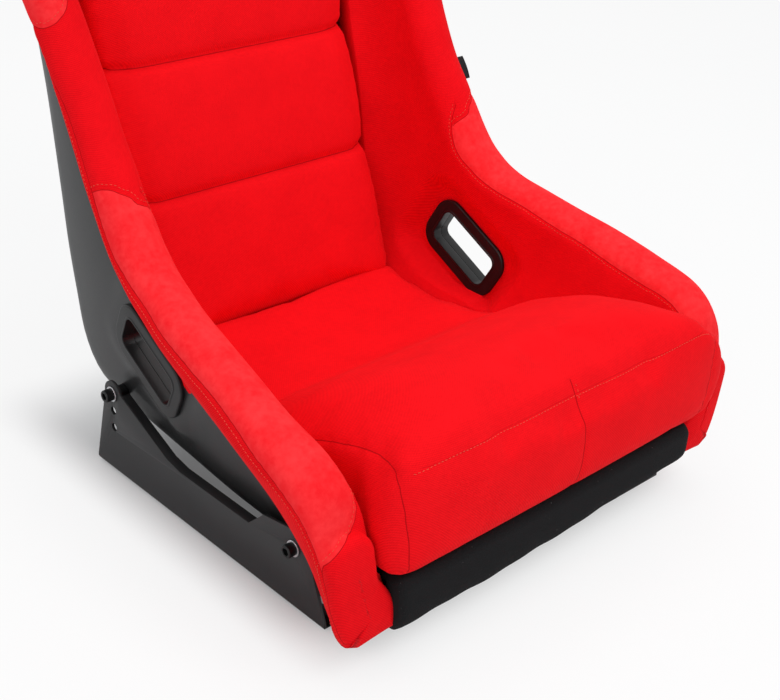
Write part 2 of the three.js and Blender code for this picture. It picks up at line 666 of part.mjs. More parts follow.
// The padded surround of the head: both rolls, the face between them and a rounded crown.
function headSurround() {
  const ring = (st, full) => {
    const right = padRing(st, full);
    const outside = SIDE_STEPS + 1 + ROLL_STEPS + 1 + INNER_STEPS;
    const cover = right.slice(0, outside);
    const core = insetSection(halfSection(st), st, SHELL_WALL / 2);
    const wrapShare = nearestShare(core, pointAlong(halfSection(st).slice(FLOOR_STEPS), st.wrap));
    const back = [];
    for (let i = 0; i <= 4; i++) back.push(pointAlong(core, (wrapShare * i) / 4));
    const left = cover.slice().reverse().map((p) => v2(-p.x, p.y));
    const under = [...back.slice().reverse().map((p) => v2(-p.x, p.y)), ...back.slice(1)];
    return [...cover, ...left, ...under];
  };
  const rings = range(SHOULDER_END + STATION_GAP, TOP).map((u) => ringAt(u, (st) => ring(st, 1)));
  const up = SPINE.getTangent(1).multiplyScalar(stationAt(TOP).roll);
  for (const turn of NOSE_TURNS) {
    const end = ringAt(TOP, (st) => ring(st, Math.cos(turn)));
    rings.push(moved(end, up.clone().multiplyScalar(Math.sin(turn))));
  }
  return largest(solidOf(loft(rings)).subtract(roomForBucket));
}

const linerLow = SHELL_WALL + SEAT_GAP;
const linerTop = linerLow + LINER;
const tapeLow = linerTop + SEAT_GAP;
const tapeTop = tapeLow + HOOK_TAPE;
const cushionLow = tapeTop + SEAT_GAP;
const LINER_SPLIT = 9; // station where the seat lining meets the back lining
const OPEN_REACH = 150; // how far above the rim the free space of the bucket is taken

function lining(from, to) {
  const sheet = band(from, to, linerLow, atDepth(linerTop));
  const width = corridor(from, to, (st) => {
    const x = st.innerX - PAD_CLEAR;
    return [v2(x, st.height), v2(x, 0)];
  });
  return largest(sheet.intersect(width).subtract(bothSides(bossRoom)).subtract(roomForBucket));
}

// A flat strip on the lining, between two half widths of the +X side.
function tape(from, to) {
  return solidOf(loft(range(from, to).map((u) => ringAt(u, (st) => [
    v2(TAPE_INNER_X, tapeLow / st.slant), v2(TAPE_OUTER_X, tapeLow / st.slant),
    v2(TAPE_OUTER_X, tapeTop / st.slant), v2(TAPE_INNER_X, tapeTop / st.slant),
  ]))));
}

// The free space of the bucket between two stations, bounded by the linings and the pads' inner faces.
function room(from, to) {
  const top = (st) => [v2(0, st.height + OPEN_REACH), v2(st.edge.x, st.height + OPEN_REACH)];
  const above = band(from, to, cushionLow, top);
  const between = corridor(from, to, (st) => {
    const edge = innerFace(st).getPoints(INNER_STEPS).map((p) => v2(p.x - PAD_CLEAR, p.y));
    return [v2(edge[0].x, st.height + OPEN_REACH), ...edge, v2(edge[INNER_STEPS].x, 0)];
  });
  return above.intersect(between);
}

const cushionFront = FRONT_Y - CUSHION_OVERHANG;
const cushionUnderside = LIP_TOP + LIP_COVER + CUSHION_SPACE;

// The seat cushion fills the bucket between the thigh pads and overhangs the front lip. Its underside slopes
// behind the lip, so that it lifts out forwards and up.
function seatCushion() {
  const side = polygon([
    [CUSHION_REAR_Y + 6, 40], [CUSHION_REAR_Y + 6, 64], [CUSHION_REAR_Y, 123], [60, 120], [0, 125],
    [-30, 130], [-62, 152], [-100, 180], [-155, 207], [-212, 223], [cushionFront + 27, 227],
    [cushionFront + 8, 221], [cushionFront, 204], [cushionFront, 110],
    [cushionFront + 6, cushionUnderside + 2], [cushionFront + 16, cushionUnderside],
    [FRONT_Y + 14, cushionUnderside], [FRONT_Y + 100, 20],
  ]);
  const [st] = STATIONS;
  const half = st.pad[2] - 2 * PAD_CLEAR;
  const shoulder = cushionFront + CUSHION_CORNER;
  const joint = FRONT_Y + 2 * PAD_CLEAR + 3; // a little behind the first station's plane
  const plan = polygon([
    [CUSHION_CORNER - half, cushionFront], [half - CUSHION_CORNER, cushionFront], [half, shoulder],
    [half, joint], [-half, joint], [-half, shoulder],
  ]);
  const ahead = solidOf(extrude(plan, OPEN_REACH + SLOT_LENGTH).translate(0, 0, cushionUnderside - 1));
  const block = solidOf(sideExtrude(side, -half, half)).intersect(room(FRONT, LINER_SPLIT).add(ahead));
  return largest(block.subtract(roomForBucket).subtract(roomForFlange).subtract(bothSides(bossRoom)));
}

function backCushion() {
  const behind = SPINE.getPoint(1).y + SHELL_WALL;
  const side = polygon([
    [CUSHION_REAR_Y + 4, 124], [187, 272], [229, 399], [258, 510], [279, 600], [285, BACK_CUSHION_TOP - 11],
    [296, BACK_CUSHION_TOP], [behind, BACK_CUSHION_TOP], [behind, 30], [199, 104],
  ]);
  const block = solidOf(sideExtrude(side, -BACK_CUSHION_HALF, BACK_CUSHION_HALF));
  return largest(block.intersect(room(LINER_SPLIT - 1.4, SHOULDER_END - 0.6)).subtract(roomForBucket));
}

// A blank fabric label sewn into the outer edge of the left waist bolster.
function sideTag() {
  const st = stationAt(TAG_STATION);
  const up = st.wall.getTangent(1);
  const out = v3(up.y, -up.x * st.ruling.y, -up.x * st.ruling.z);
  const along = RIM.getTangent(TAG_STATION / TOP);
  along.addScaledVector(out, -along.dot(out)).normalize();
  const seam = place(st, st.edge).addScaledVector(out, st.roll + TAG_CLEAR + TAG_REACH / 2);
  const frame = new THREE.Matrix4().makeBasis(out, along, out.clone().cross(along)).setPosition(seam);
  return new THREE.BoxGeometry(TAG_REACH, TAG_LENGTH, TAG_THICK).applyMatrix4(frame);
}

// The head pad's rings: thin at both ends, full between them.
const HEAD_PAD_STATIONS = [22.35, 22.6, 23, 24, 24.9, 25.2];
const HEAD_PAD_THIN = 0.45;

function headPad() {
  const last = HEAD_PAD_STATIONS.length - 1;
  return loft(HEAD_PAD_STATIONS.map((u, i) => ringAt(u, (st) => {
    const end = i === 0 || i === last;
    const low = st.innerDepth + SEAT_GAP / st.slant;
    const high = low + (end ? HEAD_PAD_THIN : 1) * HEAD_PAD_THICK;
    const half = end ? HEAD_PAD_HALF - HEAD_PAD_EDGE : HEAD_PAD_HALF;
    const middle = (low + high) / 2;
    return [
      v2(-half, low), v2(half, low), v2(half, middle), v2(half - HEAD_PAD_EDGE, high),
      v2(HEAD_PAD_EDGE - half, high), v2(-half, middle),
    ];
  })));
}

// ---------------------------------------------------------------- side brackets and fasteners

const bracketEdge = [[93, 82], [51, BRACKET_WAIST_Z + 4], [29, BRACKET_WAIST_Z], [-79, BRACKET_WAIST_Z]];

function bracketOutline() {
  const [front, rear] = BOLTS;
  const shape = new THREE.Shape();
  shape.moveTo(BRACKET_REAR_Y - BRACKET_CORNER, 0);
  shape.quadraticCurveTo(BRACKET_REAR_Y, 0, BRACKET_REAR_Y - 2, BRACKET_CORNER);
  shape.lineTo(BRACKET_REAR_Y - 6, 25);
  shape.lineTo(rear.y + LUG_R + 5, rear.z - 24);
  shape.absarc(rear.y, rear.z, LUG_R, 0, Math.PI * 0.9, false);
  for (const [y, z] of bracketEdge) shape.lineTo(y, z);
  shape.lineTo(front.y + 44, front.z + 12);
  shape.lineTo(front.y + 8, front.z + LUG_R + 4);
  shape.absarc(front.y - 2, front.z, LUG_R + 4, Math.PI / 2, Math.PI * 0.93, false);
  shape.lineTo(BRACKET_FRONT_Y + 12, 33);
  shape.lineTo(BRACKET_FRONT_Y + 3, BRACKET_CORNER);
  shape.quadraticCurveTo(BRACKET_FRONT_Y, 0, BRACKET_FRONT_Y + BRACKET_CORNER, 0);
  const boltHole = (y, z) => {
    shape.holes.push(new THREE.Path().absarc(y, z, BOLT_HOLE_R, 0, Math.PI * 2, true));
  };
  for (let i = 0; i <= TILT_HOLES; i++) boltHole(rear.y, rear.z - i * TILT_HOLE_PITCH);
  boltHole(front.y, front.z);
  return shape;
}

// Plate and foot are one folded section, cut to the side outline; the stiffener follows the top edge.
function makeBracket() {
  const section = new THREE.Shape();
  const [out, inn, t] = [BRACKET_X, BRACKET_X - BRACKET_FOOT, BRACKET_THICK];
  const top = REAR_BOLT_Z + LUG_R * 2;
  section.moveTo(inn, 0);
  section.lineTo(out - BEND_R, 0);
  section.absarc(out - BEND_R, BEND_R, BEND_R, -Math.PI / 2, 0, false);
  section.lineTo(out, top);
  section.lineTo(out - t, top);
  section.lineTo(out - t, BEND_R);
  section.absarc(out - BEND_R, BEND_R, BEND_R - t, 0, -Math.PI / 2, true);
  section.lineTo(inn, t);
  const length = BRACKET_REAR_Y - BRACKET_FRONT_Y + 2 * t;
  const folded = extrude(section, length).rotateX(Math.PI / 2).translate(0, BRACKET_REAR_Y + t, 0);
  const outline = sideExtrude(bracketOutline(), inn - 1, out + 1, 6);
  const plate = solidOf(folded).intersect(solidOf(outline));
  const edge = [[BOLTS[1].y - LUG_R - 1, BOLTS[1].z + 3], ...bracketEdge];
  const under = edge.slice().reverse().map(([y, z]) => [y, z - t]);
  const stiffener = solidOf(sideExtrude(polygon([...edge, ...under]), out - BRACKET_STIFFENER, out - t / 2));
  let bracket = plate.add(stiffener);
  for (const y of RAIL_SLOT_PLACES) {
    const slot = roundedRectangle(RAIL_SLOT_R * 2, RAIL_SLOT_LENGTH, RAIL_SLOT_R - 0.01);
    const cut = extrude(slot, 3 * t, { curveSegments: 1 }).translate((inn + out - 2 * BEND_R) / 2, y, -t);
    bracket = bracket.subtract(solidOf(cut));
  }
  return bracket;
}

// A socket cap screw along X, with its head outside the washer.
function makeBolt(bolt, x0) {
  const base = x0 + WASHER_THICK + 2 * SEAT_GAP;
  const tip = base - bolt.length;
  const profile = [
    v2(0, tip), v2(BOLT_R - 0.8, tip), v2(BOLT_R, tip + 0.8), v2(BOLT_R, base), v2(BOLT_HEAD_R, base),
    v2(BOLT_HEAD_R, base + BOLT_HEAD_LENGTH - 0.8), v2(BOLT_HEAD_R - 0.8, base + BOLT_HEAD_LENGTH),
    v2(0, base + BOLT_HEAD_LENGTH),
  ];
  const body = new THREE.LatheGeometry(profile, 12).rotateZ(-Math.PI / 2).translate(0, bolt.y, bolt.z);
  const top = base + BOLT_HEAD_LENGTH;
  const socket = rod(HEX_SOCKET_R, top - HEX_SOCKET_DEPTH, top + 1, bolt.y, bolt.z, 6);
  return solidOf(body).subtract(solidOf(socket));
}

// ---------------------------------------------------------------- assembly

const assembly = new THREE.Group();
function addPart(name, geometry, material) {
  const mesh = new THREE.Mesh(geometry, material);
  mesh.name = name;
  assembly.add(mesh);
}
// The sitter's left is +X.
function addPair(name, solid, material) {
  addPart(`${name}_left`, geometryOf(solid), material);
  addPart(`${name}_right`, geometryOf(flip(solid)), material);
}
function finish(color, roughness, metalness = 0) {
  return new THREE.MeshStandardMaterial({ color, roughness, metalness });
}
const SHELL_FINISH = finish(0x3c3c3e, 0.35);
const RED_CLOTH = finish(0xe3141d, 0.9);
const RED_SUEDE = finish(0xe0202a, 0.95);
const BLACK_CLOTH = finish(0x141415, 0.95);
const BLACK_PLASTIC = finish(0x18181a, 0.45);
const BLACK_PAINT = finish(0x1c1c1e, 0.3, 0.4);
const BLACK_OXIDE = finish(0x161617, 0.4, 0.8);
const ZINC = finish(0xc9ccd0, 0.3, 1);

addPart('bucket_shell', geometryOf(makeShell()), SHELL_FINISH);

const thighCuts = [lapSlot.tunnel, lapSlot.innerSeat, lapSlot.outerSeat, lipCover(SEAT_GAP), roomForFlange];
addPair('thigh_bolster', makePad(FRONT, THIGH_END, thighCuts), RED_SUEDE);
addPair('waist_bolster', makePad(THIGH_END + STATION_GAP, WAIST_END), RED_CLOTH);
addPair('shoulder_bolster', makePad(WAIST_END + STATION_GAP, SHOULDER_END), RED_SUEDE);
addPart('head_surround', geometryOf(headSurround()), RED_CLOTH);

addPart('seat_lining', geometryOf(lining(2, LINER_SPLIT)), BLACK_CLOTH);
const harnessCuts = bothSides(harnessSlot.tunnel.add(harnessSlot.innerSeat));
const backLining = lining(LINER_SPLIT + STATION_GAP, SHOULDER_END).subtract(harnessCuts);
addPart('back_lining', geometryOf(backLining), RED_CLOTH);
addPair('seat_hook_tape', tape(3, 7), BLACK_CLOTH);
addPair('back_hook_tape', tape(12, 18), BLACK_CLOTH);
addPart('side_tag', sideTag(), RED_CLOTH);
addPart('front_lip_cover', geometryOf(lipCover(0)), BLACK_CLOTH);
addPart('seat_cushion', geometryOf(seatCushion()), RED_CLOTH);
addPart('back_cushion', geometryOf(backCushion()), RED_CLOTH);
addPart('head_pad', headPad(), RED_CLOTH);

addPair('lap_bezel_outer', lapSlot.outside, BLACK_PLASTIC);
addPair('lap_bezel_inner', lapSlot.inside, BLACK_PLASTIC);
addPair('harness_bezel_rear', harnessSlot.outside, BLACK_PLASTIC);
addPair('harness_bezel_front', harnessSlot.inside, BLACK_PLASTIC);

addPair('side_bracket', makeBracket(), BLACK_PAINT);
for (const bolt of BOLTS) {
  const bore = BOLT_R + SEAT_GAP;
  const seat = BRACKET_X + SEAT_GAP;
  const spacer = sleeve(SPACER_R, bore, bolt.boss + SEAT_GAP, bracketInner - SEAT_GAP, bolt.y, bolt.z);
  const washer = sleeve(WASHER_R, bore, seat, seat + WASHER_THICK, bolt.y, bolt.z);
  const insert = sleeve(INSERT_R, bore, bolt.boss - INSERT_LENGTH, bolt.boss, bolt.y, bolt.z);
  addPair(`${bolt.name}_spacer`, solidOf(spacer), BLACK_OXIDE);
  addPair(`${bolt.name}_washer`, solidOf(washer), ZINC);
  addPair(`${bolt.name}_insert`, solidOf(insert), ZINC);
  addPair(`${bolt.name}_bolt`, makeBolt(bolt, BRACKET_X), BLACK_OXIDE);
}

// The origin is the middle of the footprint, at the height of the bracket feet.
const reach = new THREE.Box3().setFromObject(assembly);
assembly.position.y = -(reach.min.y + reach.max.y) / 2;

export default assembly;
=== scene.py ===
"""Fixed-back racing seat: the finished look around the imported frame.

Lengths inside the classes are millimetres in the seat's own drawing, whose y is zero midway between the side
bolts. BucketForm turns them into metres in the frame.
"""

import logging
import math
from collections.abc import Sequence
from dataclasses import dataclass, field
from enum import Enum

import bmesh
import bpy
import numpy as np
from mathutils import Matrix, Vector
from mathutils.bvhtree import BVHTree
from mathutils.kdtree import KDTree


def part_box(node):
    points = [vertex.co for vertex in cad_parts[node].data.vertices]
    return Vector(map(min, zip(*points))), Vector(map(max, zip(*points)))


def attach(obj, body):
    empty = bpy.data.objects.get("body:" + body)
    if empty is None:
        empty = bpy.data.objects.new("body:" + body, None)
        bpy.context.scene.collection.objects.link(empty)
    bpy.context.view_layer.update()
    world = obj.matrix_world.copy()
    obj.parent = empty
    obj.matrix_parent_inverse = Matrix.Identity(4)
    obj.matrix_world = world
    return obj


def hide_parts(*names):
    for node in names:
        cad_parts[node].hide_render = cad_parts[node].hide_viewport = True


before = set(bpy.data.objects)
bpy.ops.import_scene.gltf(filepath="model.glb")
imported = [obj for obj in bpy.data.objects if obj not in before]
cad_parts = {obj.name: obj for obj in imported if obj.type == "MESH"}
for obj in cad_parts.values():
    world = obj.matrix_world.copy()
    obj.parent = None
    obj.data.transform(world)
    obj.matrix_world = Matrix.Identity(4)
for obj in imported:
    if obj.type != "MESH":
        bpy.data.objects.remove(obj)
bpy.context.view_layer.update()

log = logging.getLogger("racing_seat")
Array = np.ndarray
MM = 0.001
FAR = 60.0  # the distance that stands for no seam near, in millimetres
MIRROR = np.array([-1.0, 1.0, 1.0])  # turns points of one side of the seat into the other's


class Body(Enum):
    """The bodies that pieces ride on."""

    BUCKET = "bucket"
    SEAT = "seat_pad"
    BACK = "back_pad"
    HEAD = "head_rest"


class Side(Enum):
    """The sitter's left and right, with the sign of x."""

    LEFT = 1
    RIGHT = -1

    @property
    def word(self) -> str:
        """The side's word in a node's name."""
        return self.name.lower()


def smoothstep(low: float, high: float, x: Array) -> Array:
    """Rises smoothly from 0 at low to 1 at high."""
    t = np.clip((x - low) / (high - low), 0.0, 1.0)
    return t * t * (3 - 2 * t)


# ------------------------------------------------------------------ shader building


class Wire:
    """A node's output that Python expressions work on; each expression adds its Math nodes."""

    def __init__(self, tree: bpy.types.NodeTree, socket: bpy.types.NodeSocket) -> None:
        """Args: tree: the node tree. socket: the output that carries the value."""
        self.tree = tree
        self.socket = socket

    def _math(self, operation: str, *values: "Wire | float") -> "Wire":
        """Adds one Math node on values and returns its result."""
        node = self.tree.nodes.new("ShaderNodeMath")
        node.operation = operation
        for slot, value in zip(node.inputs, values):
            if isinstance(value, Wire):
                self.tree.links.new(value.socket, slot)
            else:
                slot.default_value = value
        return Wire(self.tree, node.outputs[0])

    def __add__(self, other: "Wire | float") -> "Wire":
        """The sum."""
        return self._math("ADD", self, other)

    def __mul__(self, other: "Wire | float") -> "Wire":
        """The product."""
        return self._math("MULTIPLY", self, other)

    def __sub__(self, other: "Wire | float") -> "Wire":
        """The difference."""
        return self._math("SUBTRACT", self, other)

    def __rsub__(self, other: float) -> "Wire":
        """The difference from a number."""
        return self._math("SUBTRACT", other, self)

    def __abs__(self) -> "Wire":
        """The absolute value."""
        return self._math("ABSOLUTE", self)

    __radd__ = __add__
    __rmul__ = __mul__

    def sine(self) -> "Wire":
        """The sine, of radians."""
        return self._math("SINE", self)

    def clamped(self) -> "Wire":
        """The value kept between 0 and 1."""
        node = self._math("ADD", self, 0.0)
        node.socket.node.use_clamp = True
        return node

    def most(self, other: "Wire | float") -> "Wire":
        """The larger of two values."""
        return self._math("MAXIMUM", self, other)


class Paint:
    """Builds one material on a Principled shader."""

    def __init__(self, name: str, roughness: float = 0.5, metallic: float = 0.0) -> None:
        """Args: name: the material's name. roughness, metallic: the shader's own values."""
        self.material = bpy.data.materials.new(name)
        self.material.use_nodes = True
        self.tree = self.material.node_tree
        self.shader = self.tree.nodes["Principled BSDF"]
        self.shader.inputs["Roughness"].default_value = roughness
        self.shader.inputs["Metallic"].default_value = metallic
        self.place = self.node("ShaderNodeTexCoord").outputs["Object"]

    def node(self, kind: str, settings: dict | None = None, inputs: dict | None = None) -> bpy.types.Node:
        """Adds a node.

        Args:
            kind: the node's type.
            settings: its properties, set first.
            inputs: values or links of its sockets, by name or index.

        Returns:
            The node.
        """
        node = self.tree.nodes.new(kind)
        for key, value in (settings or {}).items():
            setattr(node, key, value)
        for key, value in (inputs or {}).items():
            slot = node.inputs[key]
            if isinstance(value, Wire):
                self.tree.links.new(value.socket, slot)
            elif isinstance(value, bpy.types.NodeSocket):
                self.tree.links.new(value, slot)
            else:
                slot.default_value = value
        return node

    def wire(self, node: bpy.types.Node, output: str | int = 0) -> Wire:
        """One output of a node as a wire."""
        return Wire(self.tree, node.outputs[output])

    def noise(
        self, scale: float, detail: float = 2.0, roughness: float = 0.5, stretch: Sequence[float] = (1, 1, 1)
    ) -> Wire:
        """A noise of about 0 to 1 over the piece; scale is in waves a metre."""
        at = self.node("ShaderNodeMapping", inputs={"Vector": self.place, "Scale": stretch}).outputs[0]
        inputs = {"Vector": at, "Scale": scale, "Detail": detail, "Roughness": roughness}
        return self.wire(self.node("ShaderNodeTexNoise", inputs=inputs), 0)

    def attribute(self, name: str) -> tuple[Wire, Wire, Wire]:
        """The three numbers of a vector attribute."""
        vector = self.node("ShaderNodeAttribute", {"attribute_name": name}).outputs["Vector"]
        split = self.node("ShaderNodeSeparateXYZ", inputs={0: vector})
        return self.wire(split, 0), self.wire(split, 1), self.wire(split, 2)

    def axes(self) -> tuple[Wire, Wire, Wire]:
        """The object coordinates."""
        split = self.node("ShaderNodeSeparateXYZ", inputs={0: self.place})
        return self.wire(split, 0), self.wire(split, 1), self.wire(split, 2)

    def blend(self, factor: Wire | float, a: Sequence[float] | Wire, b: Sequence[float] | Wire) -> Wire:
        """Mixes two colours, from a at factor 0 to b at 1."""
        first = (*a, 1.0) if isinstance(a, tuple) else a
        second = (*b, 1.0) if isinstance(b, tuple) else b
        node = self.node("ShaderNodeMix", {"data_type": "RGBA"}, {0: factor, 6: first, 7: second})
        return self.wire(node, 2)

    def ramp(self, value: Wire, low: float, high: float) -> Wire:
        """A smooth rise from 0 at low to 1 at high."""
        settings = {"interpolation_type": "SMOOTHSTEP"}
        node = self.node("ShaderNodeMapRange", settings, {"Value": value, "From Min": low, "From Max": high})
        return self.wire(node, 0)

    def feed(self, socket: str, value: Wire) -> None:
        """Links a value to one of the shader's sockets."""
        self.tree.links.new(value.socket, self.shader.inputs[socket])

    def emboss(self, height: Wire, distance: float, strength: float = 1.0) -> None:
        """Turns a height of about 0 to 1 into relief of the given depth in metres."""
        inputs = {"Height": height, "Distance": distance, "Strength": strength}
        bump = self.node("ShaderNodeBump", inputs=inputs)
        self.tree.links.new(bump.outputs[0], self.shader.inputs["Normal"])

    def seam_shade_mask(self, width: float) -> Wire:
        """How far a point lies in one of the piece's seams, 0 to 1: the mask of the painted shade along the
        seams; width is in millimetres.
        """
        line: Wire | None = None
        for distance, shown in zip(self.attribute(SEAMS), self.attribute(SEAM_MASKS)):
            one = (1 - self.ramp(abs(distance), 0.1 * width, width)) * shown
            line = one if line is None else line.most(one)
        return line


SEAMS = "seams"  # signed distances to up to three families of seams, in millimetres
SEAM_MASKS = "seam_masks"  # where each family is sewn
SUEDE = "suede"  # signed distance into the brushed panels, in millimetres


def fabric_relief(paint: Paint, pitch: float) -> Wire:
    """The relief of a fine diagonal knit; pitch is in metres."""
    x, y, z = paint.axes()
    turn = 2 * math.pi / pitch
    rib = ((x + y + z) * (turn / 1.73)).sine() * 0.5 + 0.5
    cross = ((x + y * -1.0 + z * -1.0) * (turn / 1.9)).sine() * 0.5 + 0.5
    return rib * 0.6 + cross * 0.25 + paint.noise(900.0, 1.0) * 0.25


@dataclass(frozen=True)
class Knit:
    """Knitted seat cloth with a fine diagonal rib."""

    name: str
    color: tuple[float, float, float]
    deep: tuple[float, float, float]
    pitch: float = 1.5 * MM
    roughness: float = 0.85
    seam_width: float = 0.9

    def material(self) -> bpy.types.Material:
        """Makes the cloth's material."""
        paint = Paint(self.name, self.roughness)
        relief = fabric_relief(paint, self.pitch)
        # The tone follows random noise and the knit's relief, so the rib's hollows are painted darker: partly
        # random tone, partly painted shade.
        tone = paint.noise(26.0, 3.0) * 0.35 + paint.noise(240.0, 2.0) * 0.25 + relief * 0.4
        color = paint.blend(paint.ramp(tone, 0.25, 0.75), self.deep, self.color)
        # The seams are painted darker: a painted shade in the creases that the seams pull in.
        seam_shade = tuple(0.6 * c for c in self.deep)
        paint.feed("Base Color", paint.blend(paint.seam_shade_mask(self.seam_width), color, seam_shade))
        paint.shader.inputs["Sheen Weight"].default_value = 0.03
        paint.shader.inputs["Sheen Roughness"].default_value = 0.4
        paint.shader.inputs["Sheen Tint"].default_value = (1.0, 0.2, 0.2, 1.0)
        paint.shader.inputs["Specular IOR Level"].default_value = 0.07
        paint.emboss(relief, 0.2 * MM, 0.7)
        return paint.material


@dataclass(frozen=True)
class BolsterCloth:
    """The bolsters' covering: knitted cloth with brushed suede panels let in."""

    name: str = "bolster_cloth"
    color: tuple[float, float, float] = (0.88, 0.004, 0.009)
    deep: tuple[float, float, float] = (0.70, 0.002, 0.006)
    nap: tuple[float, float, float] = (0.96, 0.040, 0.045)
    brushed: tuple[float, float, float] = (0.88, 0.012, 0.018)
    pitch: float = 1.5 * MM

    def material(self) -> bpy.types.Material:
        """Makes the covering's material."""
        paint = Paint(self.name, 0.85)
        relief = fabric_relief(paint, self.pitch)
        # The tone follows random noise and the knit's relief, so the rib's hollows are painted darker: partly
        # random tone, partly painted shade.
        tone = paint.noise(26.0, 3.0) * 0.35 + paint.noise(240.0, 2.0) * 0.25 + relief * 0.4
        knit = paint.blend(paint.ramp(tone, 0.25, 0.75), self.deep, self.color)
        blotch = paint.noise(34.0, 4.0, 0.62) * 0.5 + paint.noise(150.0, 3.0, 0.6) * 0.5
        suede = paint.blend(paint.ramp(blotch, 0.28, 0.72), self.brushed, self.nap)
        inside = paint.wire(paint.node("ShaderNodeAttribute", {"attribute_name": SUEDE}), "Fac")
        part = paint.ramp(inside, -0.4, 0.4)
        color = paint.blend(part, knit, suede)
        # The seams are painted darker: a painted shade in the creases that the seams pull in.
        seam_shade = tuple(0.64 * c for c in self.deep)
        paint.feed("Base Color", paint.blend(paint.seam_shade_mask(0.7), color, seam_shade))
        paint.shader.inputs["Sheen Weight"].default_value = 0.05
        paint.shader.inputs["Sheen Roughness"].default_value = 0.35
        paint.shader.inputs["Sheen Tint"].default_value = (1.0, 0.25, 0.25, 1.0)
        paint.shader.inputs["Specular IOR Level"].default_value = 0.07
        fuzz = paint.noise(1300.0, 2.0) * 0.6 + blotch * 0.4
        paint.emboss(relief * (1 - part) + fuzz * part, 0.18 * MM, 0.7)
        return paint.material


@dataclass(frozen=True)
class Felt:
    """Non-woven lining cloth with short loose fibres and a few pale specks."""

    name: str
    color: tuple[float, float, float]
    speck: tuple[float, float, float]
    roughness: float = 0.95

    def material(self) -> bpy.types.Material:
        """Makes the felt's material."""
        paint = Paint(self.name, self.roughness)
        fibres = paint.noise(700.0, 4.0, 0.7)
        specks = paint.ramp(paint.noise(520.0, 0.0), 0.845, 0.87)
        base = paint.blend(paint.ramp(fibres, 0.3, 0.7), tuple(0.6 * c for c in self.color), self.color)
        paint.feed("Base Color", paint.blend(specks, base, self.speck))
        paint.shader.inputs["Specular IOR Level"].default_value = 0.15
        paint.emboss(fibres + paint.noise(60.0, 2.0) * 0.5, 0.5 * MM, 0.8)
        return paint.material


@dataclass(frozen=True)
class Coating:
    """A moulded, painted or plated surface: fine texture, worn tone and an even gloss."""

    name: str
    color: tuple[float, float, float]
    roughness: float
    metallic: float = 0.0
    grain: float = 900.0
    depth: float = 0.03 * MM
    variation: float = 0.25
    coat: float = 0.0
    gloss: float = 0.5
    streak: tuple[float, float, float] = (1.0, 1.0, 1.0)

    def material(self) -> bpy.types.Material:
        """Makes the surface's material."""
        paint = Paint(self.name, self.roughness, self.metallic)
        cloud = paint.noise(9.0, 4.0, 0.6, self.streak)
        grain = paint.noise(self.grain, 2.0, 0.6, self.streak)
        low = tuple((1 - self.variation) * c for c in self.color)
        high = tuple(min(1.0, (1 + self.variation) * c) for c in self.color)
        paint.feed("Base Color", paint.blend(paint.ramp(cloud, 0.3, 0.7), low, high))
        paint.feed("Roughness", (cloud * 0.12 + grain * 0.08 + (self.roughness - 0.1)).clamped())
        paint.shader.inputs["Specular IOR Level"].default_value = self.gloss
        paint.shader.inputs["Coat Weight"].default_value = self.coat
        paint.shader.inputs["Coat Roughness"].default_value = 0.25
        paint.emboss(grain, self.depth, 0.5)
        return paint.material


@dataclass(frozen=True)
class Thread:
    """Twisted sewing thread."""

    name: str
    color: tuple[float, float, float]

    def material(self) -> bpy.types.Material:
        """Makes the thread's material."""
        paint = Paint(self.name, 0.6)
        x, y, z = paint.axes()
        twist = ((x + y + z) * 9000.0).sine() * 0.5 + 0.5
        # The twist's grooves are painted darker as well as embossed: a painted shade in the thread's twist.
        paint.feed("Base Color", paint.blend(twist, tuple(0.6 * c for c in self.color), self.color))
        paint.emboss(twist, 0.1 * MM, 0.6)
        return paint.material


class Finish(Enum):
    """The finishes of the seat."""

    BOLSTER = BolsterCloth()
    CLOTH = Knit("seat_cloth", (0.91, 0.005, 0.010), (0.74, 0.003, 0.007))
    FELT = Felt("black_felt", (0.011, 0.011, 0.012), (0.10, 0.10, 0.10))
    HOOK = Felt("hook_strip", (0.012, 0.012, 0.012), (0.03, 0.03, 0.03))
    LABEL = Knit("black_label", (0.02, 0.02, 0.022), (0.012, 0.012, 0.013), 0.8 * MM, 0.6)
    SHELL = Coating(
        "moulded_composite", (0.014, 0.014, 0.0145), 0.34, grain=500.0, depth=0.05 * MM, gloss=0.27
    )
    BEZEL = Coating(
        "moulded_plastic", (0.007, 0.007, 0.0075), 0.40, grain=1400.0, depth=0.05 * MM, gloss=0.3
    )
    POWDER = Coating(
        "powder_coat", (0.019, 0.019, 0.020), 0.46, grain=1100.0, depth=0.05 * MM, variation=0.12
    )
    ZINC = Coating(
        "zinc_plate", (0.62, 0.62, 0.64), 0.28, 1.0, 300.0, 0.02 * MM, 0.12, streak=(1.0, 6.0, 6.0)
    )
    OXIDE = Coating("black_oxide", (0.02, 0.02, 0.021), 0.36, 0.6, 1200.0, 0.03 * MM)
    THREAD = Thread("red_thread", (0.93, 0.075, 0.035))

    def get(self) -> bpy.types.Material:
        """The finish's material, made on first use."""
        return bpy.data.materials.get(self.value.name) or self.value.material()


# ------------------------------------------------------------------ mesh helpers


def new_object(
    name: str, points: Array, faces: Sequence[Sequence[int]], smooth: bool = True
) -> bpy.types.Object:
    """Makes a mesh object at the origin.

    Args:
        name: the object's name.
        points: its vertices, in metres.
        faces: its faces, as vertex numbers.
        smooth: whether its faces are shaded smooth.

    Returns:
        The linked object.
    """
    mesh = bpy.data.meshes.new(name)
    mesh.from_pydata([tuple(p) for p in points], [], [tuple(map(int, f)) for f in faces])
    mesh.validate()
    if smooth:
        mesh.shade_smooth()
    return linked(name, mesh)


def linked(name: str, data: bpy.types.ID | None) -> bpy.types.Object:
    """Makes an object of some data and puts it in the scene."""
    obj = bpy.data.objects.new(name, data)
    bpy.context.scene.collection.objects.link(obj)
    return obj


